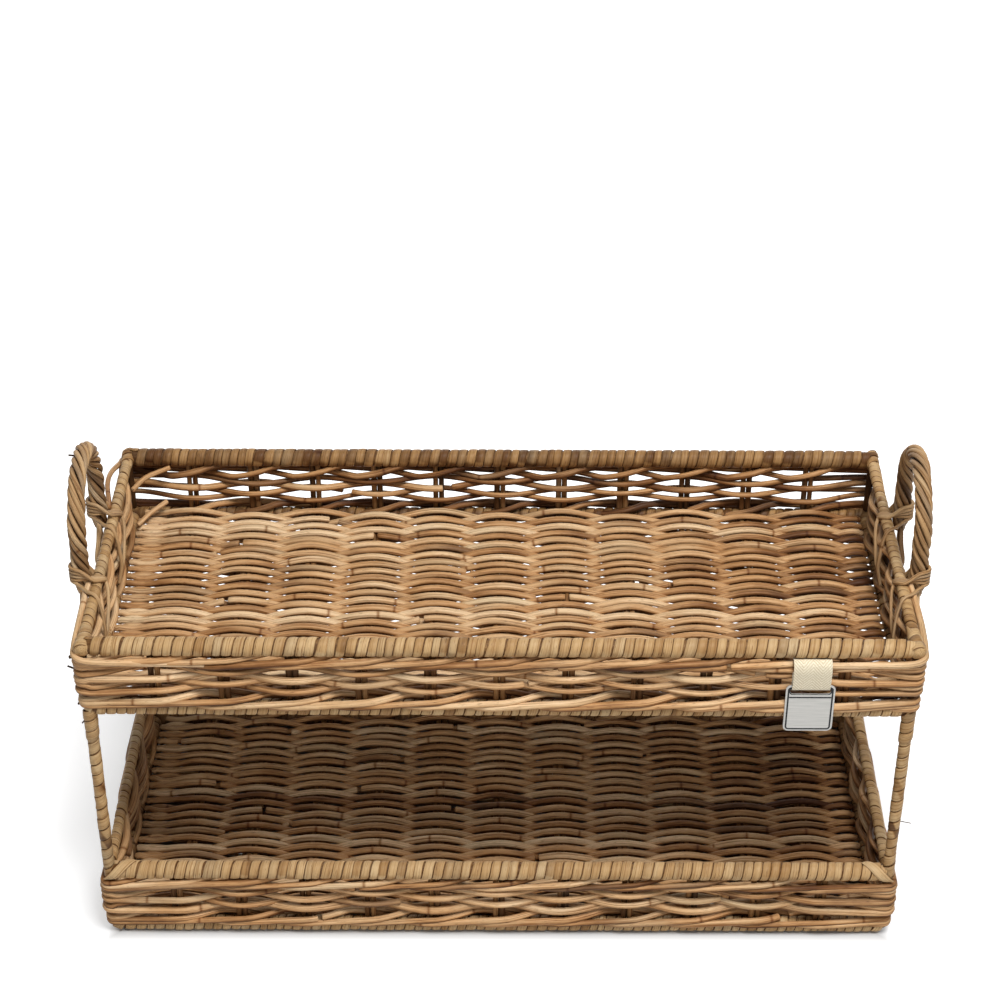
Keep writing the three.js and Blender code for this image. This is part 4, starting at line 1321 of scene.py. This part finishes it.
WEAVER = rattan(
    "rattan_weaver",
    (0.0, 0.25, 0.5, 0.75, 1.0),
    ("#4a2a14", "#845932", "#ba8d5e", "#d0a97c", "#dfc098"),
    ("#573d28", "#846547", "#ab8c68", "#c0a57f", "#d0b893"),
    gloss=0.5,
    streak_dark="#a58d76",
)
STAKES = rattan(
    "rattan_stake",
    (0.0, 0.4, 0.8, 1.0),
    ("#3e2917", "#6d4a2a", "#9a7248", "#b58c5e"),
    ("#3b2d22", "#64503d", "#8b735a", "#a48c70"),
    gloss=0.55,
    streak_dark="#b9a48f",
)
CANE = rattan(
    "split_cane",
    (0.0, 0.3, 0.6, 1.0),
    ("#5f3f22", "#9e794d", "#b89669", "#cdb187"),
    ("#57422e", "#957b5a", "#af9672", "#c4ad8a"),
    gloss=0.48,
    streak_dark="#d3c4b0",
    joint=CANE_JOINT_SPACING,
)
HANDLE = rattan(
    "rattan_handle",
    (0.0, 0.3, 0.6, 1.0),
    ("#46301d", "#80603f", "#a9865d", "#c7a77c"),
    ("#43372c", "#746250", "#99846b", "#b8a284"),
    gloss=0.5,
    streak_dark="#b9a48f",
)

for tier in TIERS:
    base(tier, WEAVER)
    walls(tier, WEAVER)
    foot(tier, CANE, STAKES)
    for side in SIDES:
        rim(tier, side, CANE, STAKES)
posts(CANE)
corner_stakes(STAKES)
stray_twigs(STAKES)
for name, way in (("left", -1), ("right", 1)):
    handle(name, way * HANDLE_OUT, HANDLE)
    lashings(name, way, HANDLE)
tape(cotton())
plate(metal(), print_black())

# Stage, light and camera


def floor_material():
    """Pale, with the tray's cast shadow on it and a painted shadow round and under it, where its glow
    fades out towards the tray, and white from a little way off.
    """
    nodes = Nodes(bpy.data.materials.new("pale_floor"))
    place = nodes.add("ShaderNodeVectorMath", {0: nodes.place()}, operation="ABSOLUTE").outputs["Vector"]
    tray = (HALF_WIDTH, HALF_DEPTH + FLOOR_DEEPER, 0)
    beyond = nodes.add("ShaderNodeVectorMath", {0: place, 1: tray}, operation="SUBTRACT")
    apart = nodes.add("ShaderNodeSeparateXYZ", {"Vector": beyond.outputs["Vector"]}).outputs
    away = nodes.math("MAXIMUM", apart["X"], apart["Y"])
    # the white fades out towards the tray, a painted shadow round it
    white = nodes.math("MULTIPLY", nodes.seen(), nodes.spread(away, *FLOOR_FADE, 0, FLOOR_WHITE))
    glow = nodes.math("ADD", white, FLOOR_LIT)
    return nodes.finish({
        "Base Color": FLOOR_COLOUR,
        "Roughness": 0.9,
        "Specular IOR Level": 0.0,
        "Emission Color": (1, 1, 1, 1),
        "Emission Strength": nodes.math("MULTIPLY", glow, nodes.spread(away, *FLOOR_EDGE, 0, 1)),
    })


def stage():
    mesh = bpy.data.meshes.new("floor")
    half = FLOOR_SIZE / 2
    corners = [(-half, -half, 0), (half, -half, 0), (half, half, 0), (-half, half, 0)]
    mesh.from_pydata(corners, [], [(0, 1, 2, 3)])
    mesh.materials.append(floor_material())
    floor = shown("floor", mesh)


def sky():
    world = bpy.data.worlds.new("studio")
    bpy.context.scene.world = world
    nodes = Nodes(world)
    strength = nodes.spread(nodes.seen(), 0, 1, AMBIENT, 1)
    nodes.feed(nodes.tree.nodes["Background"], {"Color": (1, 1, 1, 1), "Strength": strength})


def lamp(name, place, size, watts):
    light = bpy.data.lights.new(name, "AREA")
    light.shape = "RECTANGLE"
    light.size, light.size_y = size
    light.energy = watts
    hung = shown(name, light)
    hung.location = place
    hung.rotation_mode = "QUATERNION"
    hung.rotation_quaternion = (LAMP_AIM - Vector(place)).to_track_quat("-Z", "Y")


def camera():
    data = bpy.data.cameras.new("camera")
    data.sensor_width = SENSOR
    data.lens = FOCAL_PIXELS / IMAGE_PIXELS * SENSOR
    stand = shown("camera", data)
    turn = Matrix.Rotation(math.pi / 2 - CAMERA_PITCH, 4, "X")
    stand.matrix_world = Matrix.Translation(CAMERA_PLACE) @ turn @ Matrix.Rotation(CAMERA_ROLL, 4, "Z")
    bpy.context.scene.camera = stand


stage()
sky()
for settings in LAMPS:
    lamp(*settings)
camera()
bpy.context.scene.view_settings.view_transform = "Standard"
